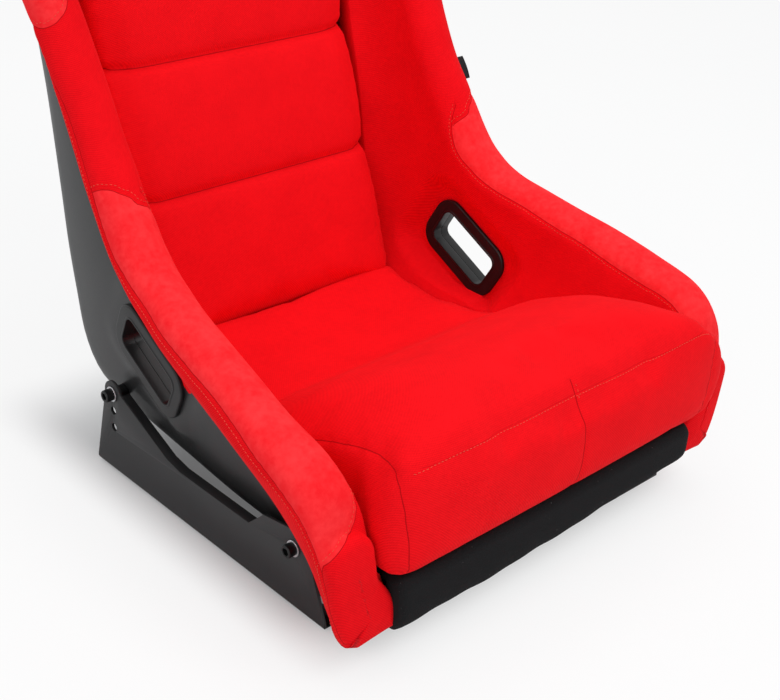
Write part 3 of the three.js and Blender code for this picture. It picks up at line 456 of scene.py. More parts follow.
def copied(name: str, node: str) -> bpy.types.Object:
    """A merged copy of a solid's mesh as a new object."""
    obj = linked(name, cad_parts[node].data.copy())
    tidy_mesh(obj)
    return obj


def tidy_mesh(obj: bpy.types.Object, merge: float = 0.01 * MM) -> None:
    """Merges doubles and turns a closed mesh's faces outwards."""
    work = bmesh.new()
    work.from_mesh(obj.data)
    bmesh.ops.remove_doubles(work, verts=work.verts, dist=merge)
    bmesh.ops.recalc_face_normals(work, faces=work.faces)
    work.to_mesh(obj.data)
    work.free()


def settle(obj: bpy.types.Object) -> None:
    """Turns an object's modifiers into its mesh."""
    bpy.context.view_layer.update()
    graph = bpy.context.evaluated_depsgraph_get()
    made = bpy.data.meshes.new_from_object(obj.evaluated_get(graph))
    old, name = obj.data, obj.data.name
    obj.modifiers.clear()
    obj.data = made
    bpy.data.meshes.remove(old)
    made.name = name


def coordinates(obj: bpy.types.Object) -> Array:
    """An object's vertices as rows."""
    flat = np.empty(len(obj.data.vertices) * 3)
    obj.data.vertices.foreach_get("co", flat)
    return flat.reshape(-1, 3)


def set_coordinates(obj: bpy.types.Object, points: Array) -> None:
    """Moves an object's vertices."""
    obj.data.vertices.foreach_set("co", points.ravel())
    obj.data.update()


def normals(obj: bpy.types.Object) -> Array:
    """An object's vertex normals as rows."""
    flat = np.empty(len(obj.data.vertices) * 3)
    obj.data.vertex_normals.foreach_get("vector", flat)
    return flat.reshape(-1, 3)


def store(obj: bpy.types.Object, name: str, values: Array) -> None:
    """Writes a number or a vector for each vertex as an attribute."""
    kind = "FLOAT" if values.ndim == 1 else "FLOAT_VECTOR"
    layer = obj.data.attributes.new(name, kind, "POINT")
    layer.data.foreach_set("value" if kind == "FLOAT" else "vector", values.astype(np.float32).ravel())


def carve(obj: bpy.types.Object, tool: bpy.types.Object, operation: str) -> None:
    """Joins or cuts an object by a tool mesh, and deletes the tool."""
    modifier = obj.modifiers.new("carve", "BOOLEAN")
    modifier.operation = operation
    modifier.solver = "EXACT"
    modifier.object = tool
    settle(obj)
    bpy.data.objects.remove(tool)


def joined(name: str, objects: Sequence[bpy.types.Object]) -> bpy.types.Object:
    """Joins several meshes into one object and deletes them."""
    work = bmesh.new()
    for obj in objects:
        work.from_mesh(obj.data)
        bpy.data.objects.remove(obj)
    mesh = bpy.data.meshes.new(name)
    work.to_mesh(mesh)
    work.free()
    return linked(name, mesh)


def loft(rings: Array, caps: bool = True) -> list[list[int]]:
    """The faces that join closed rings of points.

    Args:
        rings: an array of rings by points by 3; only its shape is used.
        caps: whether both ends get a face.

    Returns:
        The faces, as vertex numbers of the flattened rings.
    """
    count, size = rings.shape[:2]
    faces = []
    for i in range(count - 1):
        for j in range(size):
            k = (j + 1) % size
            faces.append([i * size + j, i * size + k, (i + 1) * size + k, (i + 1) * size + j])
    if caps:
        faces.append(list(range(size))[::-1])
        faces.append([(count - 1) * size + j for j in range(size)])
    return faces


def hoop(rings: Array) -> list[list[int]]:
    """The faces that join closed rings, with the last joined to the first."""
    count, size = rings.shape[:2]
    last = (count - 1) * size
    turns = [(j, (j + 1) % size) for j in range(size)]
    return loft(rings, caps=False) + [[last + j, last + k, k, j] for j, k in turns]


def rounded(points: Sequence[tuple[float, float]], radii: Sequence[float], steps: int = 5) -> Array:
    """A closed outline with its corners rounded.

    Args:
        points: the corners in order.
        radii: how far from each corner its rounding starts.
        steps: the pieces of each rounding.

    Returns:
        The outline's points.
    """
    corners = np.array(points, float)
    out = []
    for i, corner in enumerate(corners):
        before, after = corners[i - 1] - corner, corners[(i + 1) % len(corners)] - corner
        reach = min(radii[i], 0.49 * np.linalg.norm(before), 0.49 * np.linalg.norm(after))
        if reach <= 0:
            out.append(corner)
            continue
        a = corner + before / np.linalg.norm(before) * reach
        b = corner + after / np.linalg.norm(after) * reach
        out.extend(bezier(a, corner, b, np.linspace(0, 1, steps + 1)))
    return np.array(out)


def bezier(a: Array, b: Array, c: Array, t: Array) -> Array:
    """Points of a quadratic curve with ends a and c and middle handle b."""
    t = np.asarray(t, float)[:, None]
    return (1 - t) ** 2 * a + 2 * t * (1 - t) * b + t**2 * c


def along(points: Array, shares: Array) -> Array:
    """Points of a polyline at shares of its length."""
    steps = np.linalg.norm(np.diff(points, axis=0), axis=1)
    length = np.concatenate([[0.0], np.cumsum(steps)])
    wanted = np.clip(shares, 0, 1) * length[-1]
    return np.stack([np.interp(wanted, length, points[:, i]) for i in range(points.shape[1])], axis=1)


def evenly(points: Array, pitch: float) -> Array:
    """A polyline with points about a pitch apart."""
    length = float(np.linalg.norm(np.diff(points, axis=0), axis=1).sum())
    return along(points, np.linspace(0, 1, max(2, round(length / pitch) + 1)))


def replace(
    piece: bpy.types.Object, body: Body, finish: Finish, slot: str, *nodes: str
) -> bpy.types.Object:
    """Dresses a finished piece, sets it on its body and hides the solids that it stands for.

    Args:
        piece: the finished object.
        body: the body that it rides on.
        finish: its finish.
        slot: not used.
        nodes: the solids that it replaces.

    Returns:
        The piece.
    """
    piece.data.materials.clear()
    piece.data.materials.append(finish.get())
    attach(piece, body.value)
    if nodes:
        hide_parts(*nodes)
    log.info("%s: %d faces on %s", piece.name, len(piece.data.polygons), body.value)
    return piece


# ------------------------------------------------------------------ the bucket's form


@dataclass(frozen=True)
class Station:
    """One cross-section plane of the bucket.

    In the plane the first coordinate is the half width and the second the distance from the spine along the
    ruling, the side-view line that runs from the spine to the rim.
    """

    spine: Array
    ruling: Array
    slant: float
    height: float
    edge: Array
    foot: Array
    belly: Array
    corner_end: float
    corner: Array
    roll: float
    wrap: float
    inner_x: float
    inner_depth: float
    hem: float

    def wall(self, t: Array) -> Array:
        """Points of the side wall's curve, from its foot at 0 to the rim at 1."""
        return bezier(self.foot, self.belly, self.edge, t)

    def rim_axes(self) -> tuple[Array, Array]:
        """The wall's direction at the rim, and the direction out of the wall there."""
        up = self.edge - self.belly
        up = up / np.linalg.norm(up)
        return up, np.array([up[1], -up[0]])


class BucketForm:
    """The bucket's lofted form, with the same stations and rules as the solids that it dresses."""

    # spine [y, z], rim [half width, y, z], knee [half width, corner radius, bow],
    # pad [roll radius, wrap start, inner half width, inner depth, hem]
    TABLE: tuple[tuple[float, ...], ...] = (
        (-246, 31, 248, -244, 126, 217, 44, 5, 26, 0.45, 209, 62, 25),
        (-230, 25, 252, -232, 160, 215, 36, 5, 27, 0.30, 206, 64, 22),
        (-200, 21, 255, -203, 184, 197, 32, 4, 28, 0.24, 199, 70, 16),
        (-150, 22, 254, -152, 198, 185, 38, 4, 28, 0.53, 194, 75, 4),
        (-90, 26, 248, -100, 211, 185, 42, 6, 28, 0.68, 190, 76, 3),
        (-20, 31, 241, -50, 221, 186, 42, 10, 28, 0.76, 180, 76, 3),
        (50, 37, 235, -5, 231, 187, 44, 10, 28, 0.82, 170, 74, 3),
        (115, 43, 229, 28, 240, 188, 46, 10, 28, 0.85, 166, 74, 3),
        (176, 49, 226, 52, 250, 188, 50, 10, 28, 0.87, 165, 82, 3),
        (226, 63, 224, 70, 262, 189, 52, 9, 28, 0.88, 166, 92, 3),
        (251, 98, 223, 84, 274, 191, 52, 8, 28, 0.88, 168, 94, 3),
        (261, 150, 222, 98, 291, 193, 50, 7, 28, 0.87, 170, 88, 3),
        (269, 206, 222, 112, 312, 195, 48, 6, 27, 0.86, 170, 80, 3),
        (276, 263, 221, 128, 336, 195, 48, 6, 27, 0.86, 170, 73, 3),
        (283, 323, 220, 147, 366, 195, 48, 6, 26, 0.85, 170, 66, 3),
        (291, 383, 220, 165, 400, 195, 50, 6, 26, 0.84, 170, 59, 3),
        (300, 442, 222, 184, 440, 196, 54, 6, 26, 0.82, 172, 54, 3),
        (310, 500, 227, 202, 485, 199, 60, 6, 26, 0.78, 176, 50, 3),
        (320, 555, 239, 216, 535, 203, 64, 6, 26, 0.75, 178, 46, 3),
        (329, 608, 250, 226, 588, 201, 64, 6, 26, 0.74, 178, 43, 3),
        (337, 652, 238, 242, 632, 191, 60, 5, 25, 0.72, 170, 38, 3),
        (345, 697, 210, 286, 670, 170, 50, 4, 22, 0.66, 150, 30, 3),
        (352, 742, 176, 306, 712, 150, 42, 3, 19, 0.60, 128, 26, 3),
        (358, 787, 162, 311, 766, 138, 38, 3, 18, 0.56, 118, 24, 3),
        (363, 832, 156, 316, 818, 132, 36, 3, 18, 0.55, 112, 24, 3),
        (366, 868, 140, 323, 860, 116, 34, 2, 18, 0.55, 96, 22, 3),
        (367, 895, 112, 338, 889, 90, 28, 2, 16, 0.55, 70, 18, 3),
    )
    TOP = 26
    WALL = 5.0
    BOLT_SPACING = 290.0
    FLOOR_POINTS = 8

    def __init__(self) -> None:
        """Finds how far the frame is moved along y from the seat's own drawing."""
        low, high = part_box("front_washer_left")
        self.shift_y = (low[1] + high[1]) / 2 / MM + self.BOLT_SPACING / 2
        self.table = np.array(self.TABLE)

    def frame_point(self, x: float, y: float, z: float) -> Vector:
        """A point of the drawing in the frame, in metres."""
        return Vector((x, y + self.shift_y, z)) * MM

    def drawing(self, points: Array) -> Array:
        """Points of the frame in the drawing's millimetres."""
        return points / MM - np.array([0.0, self.shift_y, 0.0])

    def framed(self, points: Array) -> Array:
        """Points of the drawing in the frame's metres."""
        return (points + np.array([0.0, self.shift_y, 0.0])) * MM

    def _spline(self, columns: slice, u: float) -> Array:
        """A Catmull-Rom point of some of the table's columns at place u."""
        points = self.table[:, columns]
        last = len(points) - 1
        i = int(min(math.floor(max(u, 0.0)), last - 1))
        w = u - i
        before = points[i - 1] if i > 0 else 2 * points[0] - points[1]
        after = points[i + 2] if i + 2 <= last else 2 * points[last] - points[last - 1]
        a, b = points[i], points[i + 1]
        m0, m1 = 0.5 * (b - before), 0.5 * (after - a)
        return a + m0 * w + (-3 * a + 3 * b - 2 * m0 - m1) * w**2 + (2 * a - 2 * b + m0 + m1) * w**3

    def station(self, u: float) -> Station:
        """Everything a station holds at place u, from 0 at the front edge to TOP at the crown."""
        spine, rim = self._spline(slice(0, 2), u), self._spline(slice(2, 5), u)
        knee, pad = self._spline(slice(5, 8), u), self._spline(slice(8, 13), u)
        ruling = rim[1:] - spine
        height = float(np.linalg.norm(ruling))
        ruling = ruling / height
        delta = 0.0026
        low, high = max(u - delta, 0.0), min(u + delta, float(self.TOP))
        tangent = self._spline(slice(0, 2), high) - self._spline(slice(0, 2), low)
        tangent /= np.linalg.norm(tangent)
        slant = abs(tangent[0] * ruling[1] - tangent[1] * ruling[0])
        foot, edge = np.array([knee[0], 0.0]), np.array([rim[0], height])
        run = edge - foot
        out = np.array([run[1], -run[0]]) / np.linalg.norm(run)
        belly = (foot + edge) / 2 + out * 2 * knee[2]
        corner_end = float(knee[1] / np.linalg.norm(run))
        end = bezier(foot, belly, edge, np.array([corner_end]))[0]
        slope = 2 * (1 - corner_end) * (belly - foot) + 2 * corner_end * (edge - belly)
        apex = np.array([end[0] - slope[0] / slope[1] * end[1], 0.0])
        corner = np.array([[knee[0] - knee[1], 0.0], apex, end])
        return Station(spine, ruling, max(slant, 0.5), height, edge, foot, belly, corner_end, corner, *pad)

    def half_section(self, st: Station, corner: int = 12, wall: int = 20) -> Array:
        """The outer skin from mid width to the rim."""
        count = self.FLOOR_POINTS
        flat = np.stack([np.linspace(0, st.corner[0, 0], count, endpoint=False), np.zeros(count)], axis=1)
        bend = bezier(*st.corner, np.linspace(0, 1, corner, endpoint=False))
        return np.concatenate([flat, bend, st.wall(np.linspace(st.corner_end, 1, wall + 1))])

    @staticmethod
    def inset(points: Array, st: Station, depth: float) -> Array:
        """Moves a half section into the bucket by a thickness, or outwards where it is negative."""
        run = np.gradient(points, axis=0)
        run[0] = (1, 0)
        run /= np.linalg.norm(run, axis=1)[:, None]
        return points + np.stack([-run[:, 1] * depth, run[:, 0] * depth / st.slant], axis=1)

    def place(self, st: Station, points: Array) -> Array:
        """Points of a station's plane in the drawing."""
        y = st.spine[0] + st.ruling[0] * points[:, 1]
        z = st.spine[1] + st.ruling[1] * points[:, 1]
        return np.stack([points[:, 0], y, z], axis=1)

    def inner_face(self, st: Station, t: Array) -> Array:
        """A pad's inner face, from the roll at 0 down to its foot at 1."""
        up, out = st.rim_axes()
        start, end = st.edge - out * st.roll, np.array([st.inner_x, st.inner_depth])
        return bezier(start, start - up * 0.7 * np.linalg.norm(start - end), end, t)

    def pad_ring(self, st: Station, ring: Array, full: float = 1.0) -> Array:
        """Points of a side pad's cover at ring places.

        Args:
            st: the station.
            ring: places from 0 at the hem outside, 1 and 2 at the roll's ends, 3 at the foot inside,
                to 4 back at the hem along the middle of the shell's wall.
            full: 1 for the whole pad, down to 0 where it has shrunk onto the wall.

        Returns:
            One point in the station's plane for each place.
        """
        half = self.half_section(st)
        side = half[self.FLOOR_POINTS :]
        up, out = st.rim_axes()
        core = self.inset(half, st, self.WALL / 2)
        a = np.clip(ring, 0, 1)
        share = st.wrap + (1 - st.wrap) * a
        base, ahead, behind = (along(side, share + d) for d in (0.0, 0.02, -0.02))
        run = ahead - behind
        run /= np.linalg.norm(run, axis=1)[:, None]
        lift = (st.hem + (st.roll - st.hem) * smoothstep(0, 1.1, a)) * full
        points = base + np.stack([run[:, 1], -run[:, 0]], axis=1) * lift[:, None]
        angle = math.pi * np.clip(ring - 1, 0, 1)[:, None]
        roll = st.edge + st.roll * full * (np.cos(angle) * out + np.sin(angle) * up)
        points = np.where(ring[:, None] > 1, roll, points)
        fine = along(core, np.linspace(0, 1, 201))
        foot = float(np.argmax(fine[:, 0] >= min(st.inner_x, st.edge[0] - 8))) / 200
        t = np.clip(ring - 2, 0, 1)
        inside = along(core, 1 + (foot - 1) * t)
        face = inside + (self.inner_face(st, t) - inside) * full
        points = np.where(ring[:, None] > 2, face, points)
        wrap_at = along(side, np.array([st.wrap]))[0]
        wrap = float(np.argmin(np.linalg.norm(fine - wrap_at, axis=1))) / 200
        back = along(core, foot + (wrap - foot) * np.clip(ring - 3, 0, 1))
        return np.where(ring[:, None] > 3, back, points)

    def even_places(self, start: float, end: float, pitch: float) -> Array:
        """Places between two stations, about a pitch apart along the rim."""
        trial = np.linspace(start, end, 400)
        rim = np.array([self._spline(slice(2, 5), u) for u in trial])
        length = np.concatenate([[0.0], np.cumsum(np.linalg.norm(np.diff(rim, axis=0), axis=1))])
        return np.interp(np.linspace(0, length[-1], round(length[-1] / pitch) + 1), length, trial)


@dataclass(frozen=True)
class SlotFrame:
    """Where a belt slot lies: its middle on the outside face, and its three directions."""

    origin: Array
    along: Array
    across: Array
    outward: Array

    @classmethod
    def of_bezel(cls, node: str, proud: float, away: Array) -> "SlotFrame":
        """Reads the place of a slot from its outside bezel's solid.

        Args:
            node: the solid's name.
            proud: how far the bezel's face stands off the wall, in metres.
            away: a direction that leaves the bucket there.

        Returns:
            The slot's frame, in metres.
        """
        points = np.unique(coordinates(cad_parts[node]).round(6), axis=0)
        middle = (points.max(axis=0) + points.min(axis=0)) / 2
        axes = np.linalg.svd(points - points.mean(axis=0))[2]
        outward = axes[2] * np.sign(axes[2] @ away)
        run = axes[0] * np.sign(axes[0][np.argmax(abs(axes[0]))])
        face = ((points - middle) @ outward).max() - proud
        across = np.cross(outward, run)
        reach = (points - middle) @ np.stack([run, across], axis=1)
        centre = (reach.max(axis=0) + reach.min(axis=0)) / 2
        return cls(middle + run * centre[0] + across * centre[1] + outward * face, run, across, outward)

    def world(self, points: Array) -> Array:
        """Points of the slot's own axes in the frame, both in metres."""
        return self.origin + points @ np.stack([self.along, self.across, self.outward])

    def local(self, points: Array) -> Array:
        """Points of the frame in the slot's own axes, both in metres."""
        return (points - self.origin) @ np.stack([self.along, self.across, self.outward], axis=1)

    def mirrored(self) -> "SlotFrame":
        """The same slot on the other side of the seat."""
        return SlotFrame(*(axis * MIRROR for axis in (self.origin, self.along, self.across, self.outward)))


# ------------------------------------------------------------------ belt slots


@dataclass
class BeltSlots:
    """The belt openings and the plastic bezels on both faces of each."""

    form: BucketForm
    lap: tuple[float, float, float] = (86.0, 41.0, 15.0)
    harness: tuple[float, float, float] = (88.0, 40.0, 13.0)
    corner: float = 9.0
    rim: float = 14.5
    proud: float = 4.5
    sleeve: float = 2.4
    gap: float = 0.15
    frames: dict[str, tuple[SlotFrame, SlotFrame, tuple[float, float, float]]] = field(default_factory=dict)

    def __post_init__(self) -> None:
        """Reads where the openings lie from the bezels' solids."""
        for name, outside, away, size in (
            ("lap", "lap_bezel_outer_left", (1, 0, 0), self.lap),
            ("harness", "harness_bezel_rear_left", (0, 1, 0), self.harness),
        ):
            out = SlotFrame.of_bezel(outside, self.proud * MM, np.array(away, float))
            back = SlotFrame(out.origin - out.outward * size[2] * MM, out.along, -out.across, -out.outward)
            self.frames[name] = (out, back, size)

    def outline(
        self, size: tuple[float, float, float], outset: float, corner_steps: int = 12
    ) -> tuple[Array, Array]:
        """The opening's outline and its outward directions, in millimetres."""
        half_l, half_w = size[0] / 2 - self.corner, size[1] / 2 - self.corner
        points, out = [], []
        for i, (sx, sy) in enumerate(((1, 1), (-1, 1), (-1, -1), (1, -1))):
            for turn in np.linspace(0, math.pi / 2, corner_steps + 1) + i * math.pi / 2:
                way = np.array([math.cos(turn), math.sin(turn)])
                out.append(way)
                points.append(np.array([sx * half_l, sy * half_w]) + way * (self.corner + outset))
        return np.array(points), np.array(out)

    def tunnel(self, name: str, side: Side) -> bpy.types.Object:
        """A solid that cuts one opening through shell and padding."""
        out, _, size = self.frames[name]
        slot = out if side is Side.LEFT else out.mirrored()
        outline, _ = self.outline(size, self.sleeve)
        rings = []
        for height in (-75.0, 45.0):
            level = np.full((len(outline), 1), height)
            rings.append(slot.world(np.hstack([outline, level]) * MM))
        tool = new_object(f"tunnel_{name}", np.concatenate(rings), loft(np.array(rings)), False)
        tidy_mesh(tool)
        return tool

    def press(self, points: Array, name: str, inner: bool, side: Side, reach: tuple[float, float]) -> Array:
        """How far points near a bezel move so that the surface lies flat on the bezel's seat.

        Args:
            points: the surface's points, in metres.
            name: the opening.
            inner: whether the seat is the one inside the bucket.
            side: the side of the seat.
            reach: how far round the bezel the surface is flat, and where the flattening ends, in millimetres.

        Returns:
            The movement of each point, in metres.
        """
        out, back, size = self.frames[name]
        slot = back if inner else out
        slot = slot if side is Side.LEFT else slot.mirrored()
        local = slot.local(points) / MM
        half = np.array([size[0] / 2 + self.rim, size[1] / 2 + self.rim])
        beyond = np.maximum(abs(local[:, :2]) - half + 8, 0)
        distance = np.linalg.norm(beyond, axis=1) - 8
        weight = (1 - smoothstep(reach[0], reach[1], distance)) * (abs(local[:, 2]) < 26)
        return -(local[:, 2] * weight * MM)[:, None] * slot.outward

    def bezel(self, name: str, inner: bool, side: Side) -> bpy.types.Object:
        """One bezel: a rounded face round the opening with a sleeve into the wall."""
        out, back, size = self.frames[name]
        slot = back if inner else out
        slot = slot if side is Side.LEFT else slot.mirrored()
        joint = -size[2] / 2 + self.gap
        section = rounded(
            [(0, joint), (0, self.proud + 0.5), (2.0, self.proud + 0.5), (2.9, self.proud - 0.2),
             (self.rim, self.proud - 0.2), (self.rim, 0), (self.sleeve, 0), (self.sleeve, joint)],
            [0.2, 0.9, 0.8, 0.7, 3.4, 0.3, 0.0, 0.2], 4,
        )
        outline, ways = self.outline(size, 0.0)
        rings = []
        for point, way in zip(outline, ways):
            flat = point + way * section[:, :1]
            rings.append(slot.world(np.hstack([flat, section[:, 1:]]) * MM))
        rings = np.array(rings)
        place = {"lap": ("outer", "inner"), "harness": ("rear", "front")}[name][inner]
        label = f"{name}_bezel_{place}_{side.word}"
        obj = new_object(f"{label}_trim", rings.reshape(-1, 3), hoop(rings))
        tidy_mesh(obj)
        return replace(obj, Body.BUCKET, Finish.BEZEL, "bezel", label)

    def build(self) -> None:
        """Makes all the bezels."""
        for side in Side:
            for name in self.frames:
                for inner in (True, False):
                    self.bezel(name, inner, side)


# ------------------------------------------------------------------ shell and lining


@dataclass
class BucketShell:
    """The moulded bucket with its bolt bosses, front flange and belt openings."""

    form: BucketForm
    slots: BeltSlots
    pitch: float = 6.0
    bolts: tuple[tuple[float, float, float], ...] = ((-145.0, 68.0, 208.0), (145.0, 95.0, 201.0))
    boss_radius: float = 13.0
    bore_radius: float = 6.8
    bore_depth: float = 13.3
    flange_half: float = 187.0

    def skins(self) -> tuple[Array, Array]:
        """The outer and the inner skin as rows of points, in metres, pressed flat under the bezels."""
        outer, inner = [], []
        for u in self.form.even_places(0, self.form.TOP, self.pitch):
            st = self.form.station(u)
            half = self.form.half_section(st, 16, 30)
            outer.append(self.form.place(st, half))
            inner.append(self.form.place(st, self.form.inset(half, st, self.form.WALL)))
        outer, inner = self.form.framed(np.array(outer)), self.form.framed(np.array(inner))
        flat = outer.reshape(-1, 3)
        move = sum(self.slots.press(flat, name, False, Side.LEFT, (3.0, 26.0)) for name in self.slots.frames)
        return outer + move.reshape(outer.shape), inner + move.reshape(outer.shape)

    def lofted(self) -> bpy.types.Object:
        """The bare bucket as one closed wall."""
        outer, inner = self.skins()
        lift = outer[:, -1] - outer[:, -2]
        lift /= np.linalg.norm(lift, axis=1)[:, None]
        rim = (outer[:, -1] + inner[:, -1]) / 2 + lift * 2.2 * MM
        full_out = np.concatenate([(outer * MIRROR)[:, :0:-1], outer], axis=1)
        full_in = np.concatenate([inner[:, :0:-1], inner * MIRROR], axis=1)
        rings = np.concatenate([full_out, rim[:, None], full_in, (rim * MIRROR)[:, None]], axis=1)
        faces = loft(rings, caps=False)
        size, count = rings.shape[1], full_out.shape[1]
        for start in (0, (len(rings) - 1) * size):
            for j in range(count - 1):
                other = count + 1 + (count - 1 - j)
                faces.append([start + j, start + j + 1, start + other - 1, start + other])
            faces.append([start + count - 1, start + count, start + count + 1])
            faces.append([start + size - 2, start + size - 1, start])
        obj = new_object("bucket", rings.reshape(-1, 3), faces)
        tidy_mesh(obj)
        return obj

    def additions(self) -> bpy.types.Object:
        """The bolt bosses and the flange behind the lip cover, as one tool."""
        made = []
        for y, z, face in self.bolts:
            for side in Side:
                radius = self.boss_radius
                profile = [
                    (face - 15, radius), (face - 1, radius), (face - 0.3, radius - 0.3), (face, radius - 1),
                ]
                made.append(lathe("boss", profile, self.form, (0, y, z), side, 40))
        outline = rounded(
            [(-246, 27), (-246, 90), (-241, 90), (-241, 42), (-230, 31), (-230, 27)], [0.1, 2, 2, 9, 2, 0.1]
        )
        ends = (-self.flange_half, self.flange_half)
        rings = [self.form.framed(np.insert(outline, 0, x, axis=1)) for x in ends]
        flange = new_object("flange", np.concatenate(rings), loft(np.array(rings)))
        tidy_mesh(flange)
        return joined("additions", [*made, flange])

    def build(self) -> bpy.types.Object:
        """Makes the shell."""
        obj = self.lofted()
        carve(obj, self.additions(), "UNION")
        cuts = [self.slots.tunnel(name, side) for name in self.slots.frames for side in Side]
        for y, z, face in self.bolts:
            bore = [(face - self.bore_depth, self.bore_radius), (face + 10, self.bore_radius)]
            cuts += [lathe("bore", bore, self.form, (0, y, z), side, 40) for side in Side]
        carve(obj, joined("cuts", cuts), "DIFFERENCE")
        obj.name = "bucket_moulding"
        obj.data.set_sharp_from_angle(angle=math.radians(34))
        return replace(obj, Body.BUCKET, Finish.SHELL, "shell", "bucket_shell")


def lathe(
    name: str,
    profile: Sequence[tuple[float, float]],
    form: BucketForm,
    centre: tuple[float, float, float],
    side: Side,
    segments: int = 48,
    knurl: float = 0.0,
) -> bpy.types.Object:
    """Turns a profile about a line along X.

    Args:
        name: the object's name.
        profile: points as place along X and radius, in millimetres; it is closed through the axis.
        form: the form whose drawing the centre is given in.
        centre: a point of the axis; its x is added to the profile.
        side: the side of the seat.
        segments: how many flats make the round.
        knurl: how deep every second flat of the widest part is set in.

    Returns:
        The closed object.
    """
    widest = max(r for _, r in profile)
    turns = np.linspace(0, 2 * math.pi, segments, endpoint=False)
    rings = []
    for x, radius in profile:
        depth = np.where(np.arange(segments) % 2 == 0, 0.0, knurl if radius >= widest - 1e-6 else 0.0)
        reach = np.maximum(radius, 1e-4) - depth
        y, z = centre[1] + reach * np.cos(turns), centre[2] + reach * np.sin(turns)
        rings.append(form.framed(np.stack([np.full(segments, (centre[0] + x) * side.value), y, z], axis=1)))
    obj = new_object(name, np.concatenate(rings), loft(np.array(rings)))
    tidy_mesh(obj, 0.002 * MM)
    return obj


@dataclass
class Lining:
    """A sheet of lining glued to the inside of the shell."""

    form: BucketForm
    node: str
    start: float
    end: float
    slots: BeltSlots | None = None
    depths: tuple[float, float] = (5.3, 11.3)
    pitch: float = 8.0

    def build(self) -> bpy.types.Object:
        """Makes the lining."""
        rings = []
        for u in self.form.even_places(self.start, self.end, self.pitch):
            st = self.form.station(u)
            half = self.form.half_section(st, 14, 24)
            skins = []
            for depth in self.depths:
                line = self.form.inset(half, st, depth)
                reach = st.inner_x - 1.0
                ahead = int(np.argmax(line[:, 0] >= reach)) if line[:, 0].max() >= reach else len(line) - 1
                skins.append(self.form.place(st, along(line[: ahead + 1], np.linspace(0, 1, 26))))
            low, high = skins
            ring = [*(low * MIRROR)[:0:-1], *low, *high[::-1], *(high * MIRROR)[1:]]
            rings.append(self.form.framed(np.array(ring)))
        obj = new_object(f"{self.node}_felt", np.concatenate(rings), loft(np.array(rings), caps=False))
        work = bmesh.new()
        work.from_mesh(obj.data)
        bmesh.ops.holes_fill(work, edges=work.edges, sides=0)
        bmesh.ops.triangulate(work, faces=[f for f in work.faces if len(f.verts) > 4])
        bmesh.ops.recalc_face_normals(work, faces=work.faces)
        work.to_mesh(obj.data)
        work.free()
        if self.slots is not None:
            carve(obj, joined("cuts", [self.slots.tunnel("harness", side) for side in Side]), "DIFFERENCE")
        obj.name = f"{self.node}_felt"
        obj.data.set_sharp_from_angle(angle=math.radians(40))
        return replace(obj, Body.BUCKET, Finish.FELT, "felt", self.node)


# ------------------------------------------------------------------ sewing


@dataclass
class Stitching:
    """Runs of thread: one small grain for each stitch, set along lines by Geometry Nodes."""

    name: str
    body: Body
    finish: Finish
    slot: str
    pitch: float = 4.0
    length: float = 2.7
    width: float = 0.6

    def tree(self) -> tuple[bpy.types.NodeTree, dict[str, str]]:
        """The node tree, and the identifiers of its inputs by name."""
        tree = bpy.data.node_groups.new(f"{self.name}_nodes", "GeometryNodeTree")
        tree.interface.new_socket("Geometry", in_out="INPUT", socket_type="NodeSocketGeometry")
        inputs = {}
        for label in ("Pitch", "Length", "Width"):
            socket = tree.interface.new_socket(label, in_out="INPUT", socket_type="NodeSocketFloat")
            inputs[label] = socket.identifier
        tree.interface.new_socket("Geometry", in_out="OUTPUT", socket_type="NodeSocketGeometry")
        new, link = tree.nodes.new, tree.links.new
        given, end = new("NodeGroupInput"), new("NodeGroupOutput")
        curve, dots = new("GeometryNodeMeshToCurve"), new("GeometryNodeCurveToPoints")
        dots.mode = "LENGTH"
        grain, size = new("GeometryNodeMeshUVSphere"), new("ShaderNodeCombineXYZ")
        grain.inputs["Segments"].default_value = 6
        grain.inputs["Rings"].default_value = 4
        grain.inputs["Radius"].default_value = 0.5
        place, real = new("GeometryNodeInstanceOnPoints"), new("GeometryNodeRealizeInstances")
        smooth, paint = new("GeometryNodeSetShadeSmooth"), new("GeometryNodeSetMaterial")
        paint.inputs["Material"].default_value = self.finish.get()
        link(given.outputs["Geometry"], curve.inputs[0])
        link(curve.outputs[0], dots.inputs["Curve"])
        link(given.outputs["Pitch"], dots.inputs["Length"])
        link(given.outputs["Width"], size.inputs[0])
        link(given.outputs["Width"], size.inputs[1])
        link(given.outputs["Length"], size.inputs[2])
        link(dots.outputs["Points"], place.inputs["Points"])
        link(grain.outputs["Mesh"], place.inputs["Instance"])
        link(dots.outputs["Rotation"], place.inputs["Rotation"])
        link(size.outputs[0], place.inputs["Scale"])
        link(place.outputs[0], real.inputs[0])
        link(real.outputs[0], smooth.inputs[0])
        link(smooth.outputs[0], paint.inputs[0])
        link(paint.outputs[0], end.inputs[0])
        return tree, inputs

    def build(self, lines: Sequence[Array]) -> bpy.types.Object:
        """Sews along lines of points.

        Args:
            lines: the lines, in metres.

        Returns:
            The thread as one object.
        """
        mesh = bpy.data.meshes.new(self.name)
        points, edges = [], []
        for line in lines:
            edges += [(len(points) + i, len(points) + i + 1) for i in range(len(line) - 1)]
            points += [tuple(p) for p in line]
        mesh.from_pydata(points, edges, [])
        obj = linked(self.name, mesh)
        tree, inputs = self.tree()
        modifier = obj.modifiers.new("stitches", "NODES")
        modifier.node_group = tree
        for label, value in (("Pitch", self.pitch), ("Length", self.length), ("Width", self.width)):
            modifier[inputs[label]] = value * MM
        settle(obj)
        return replace(obj, self.body, self.finish, self.slot)


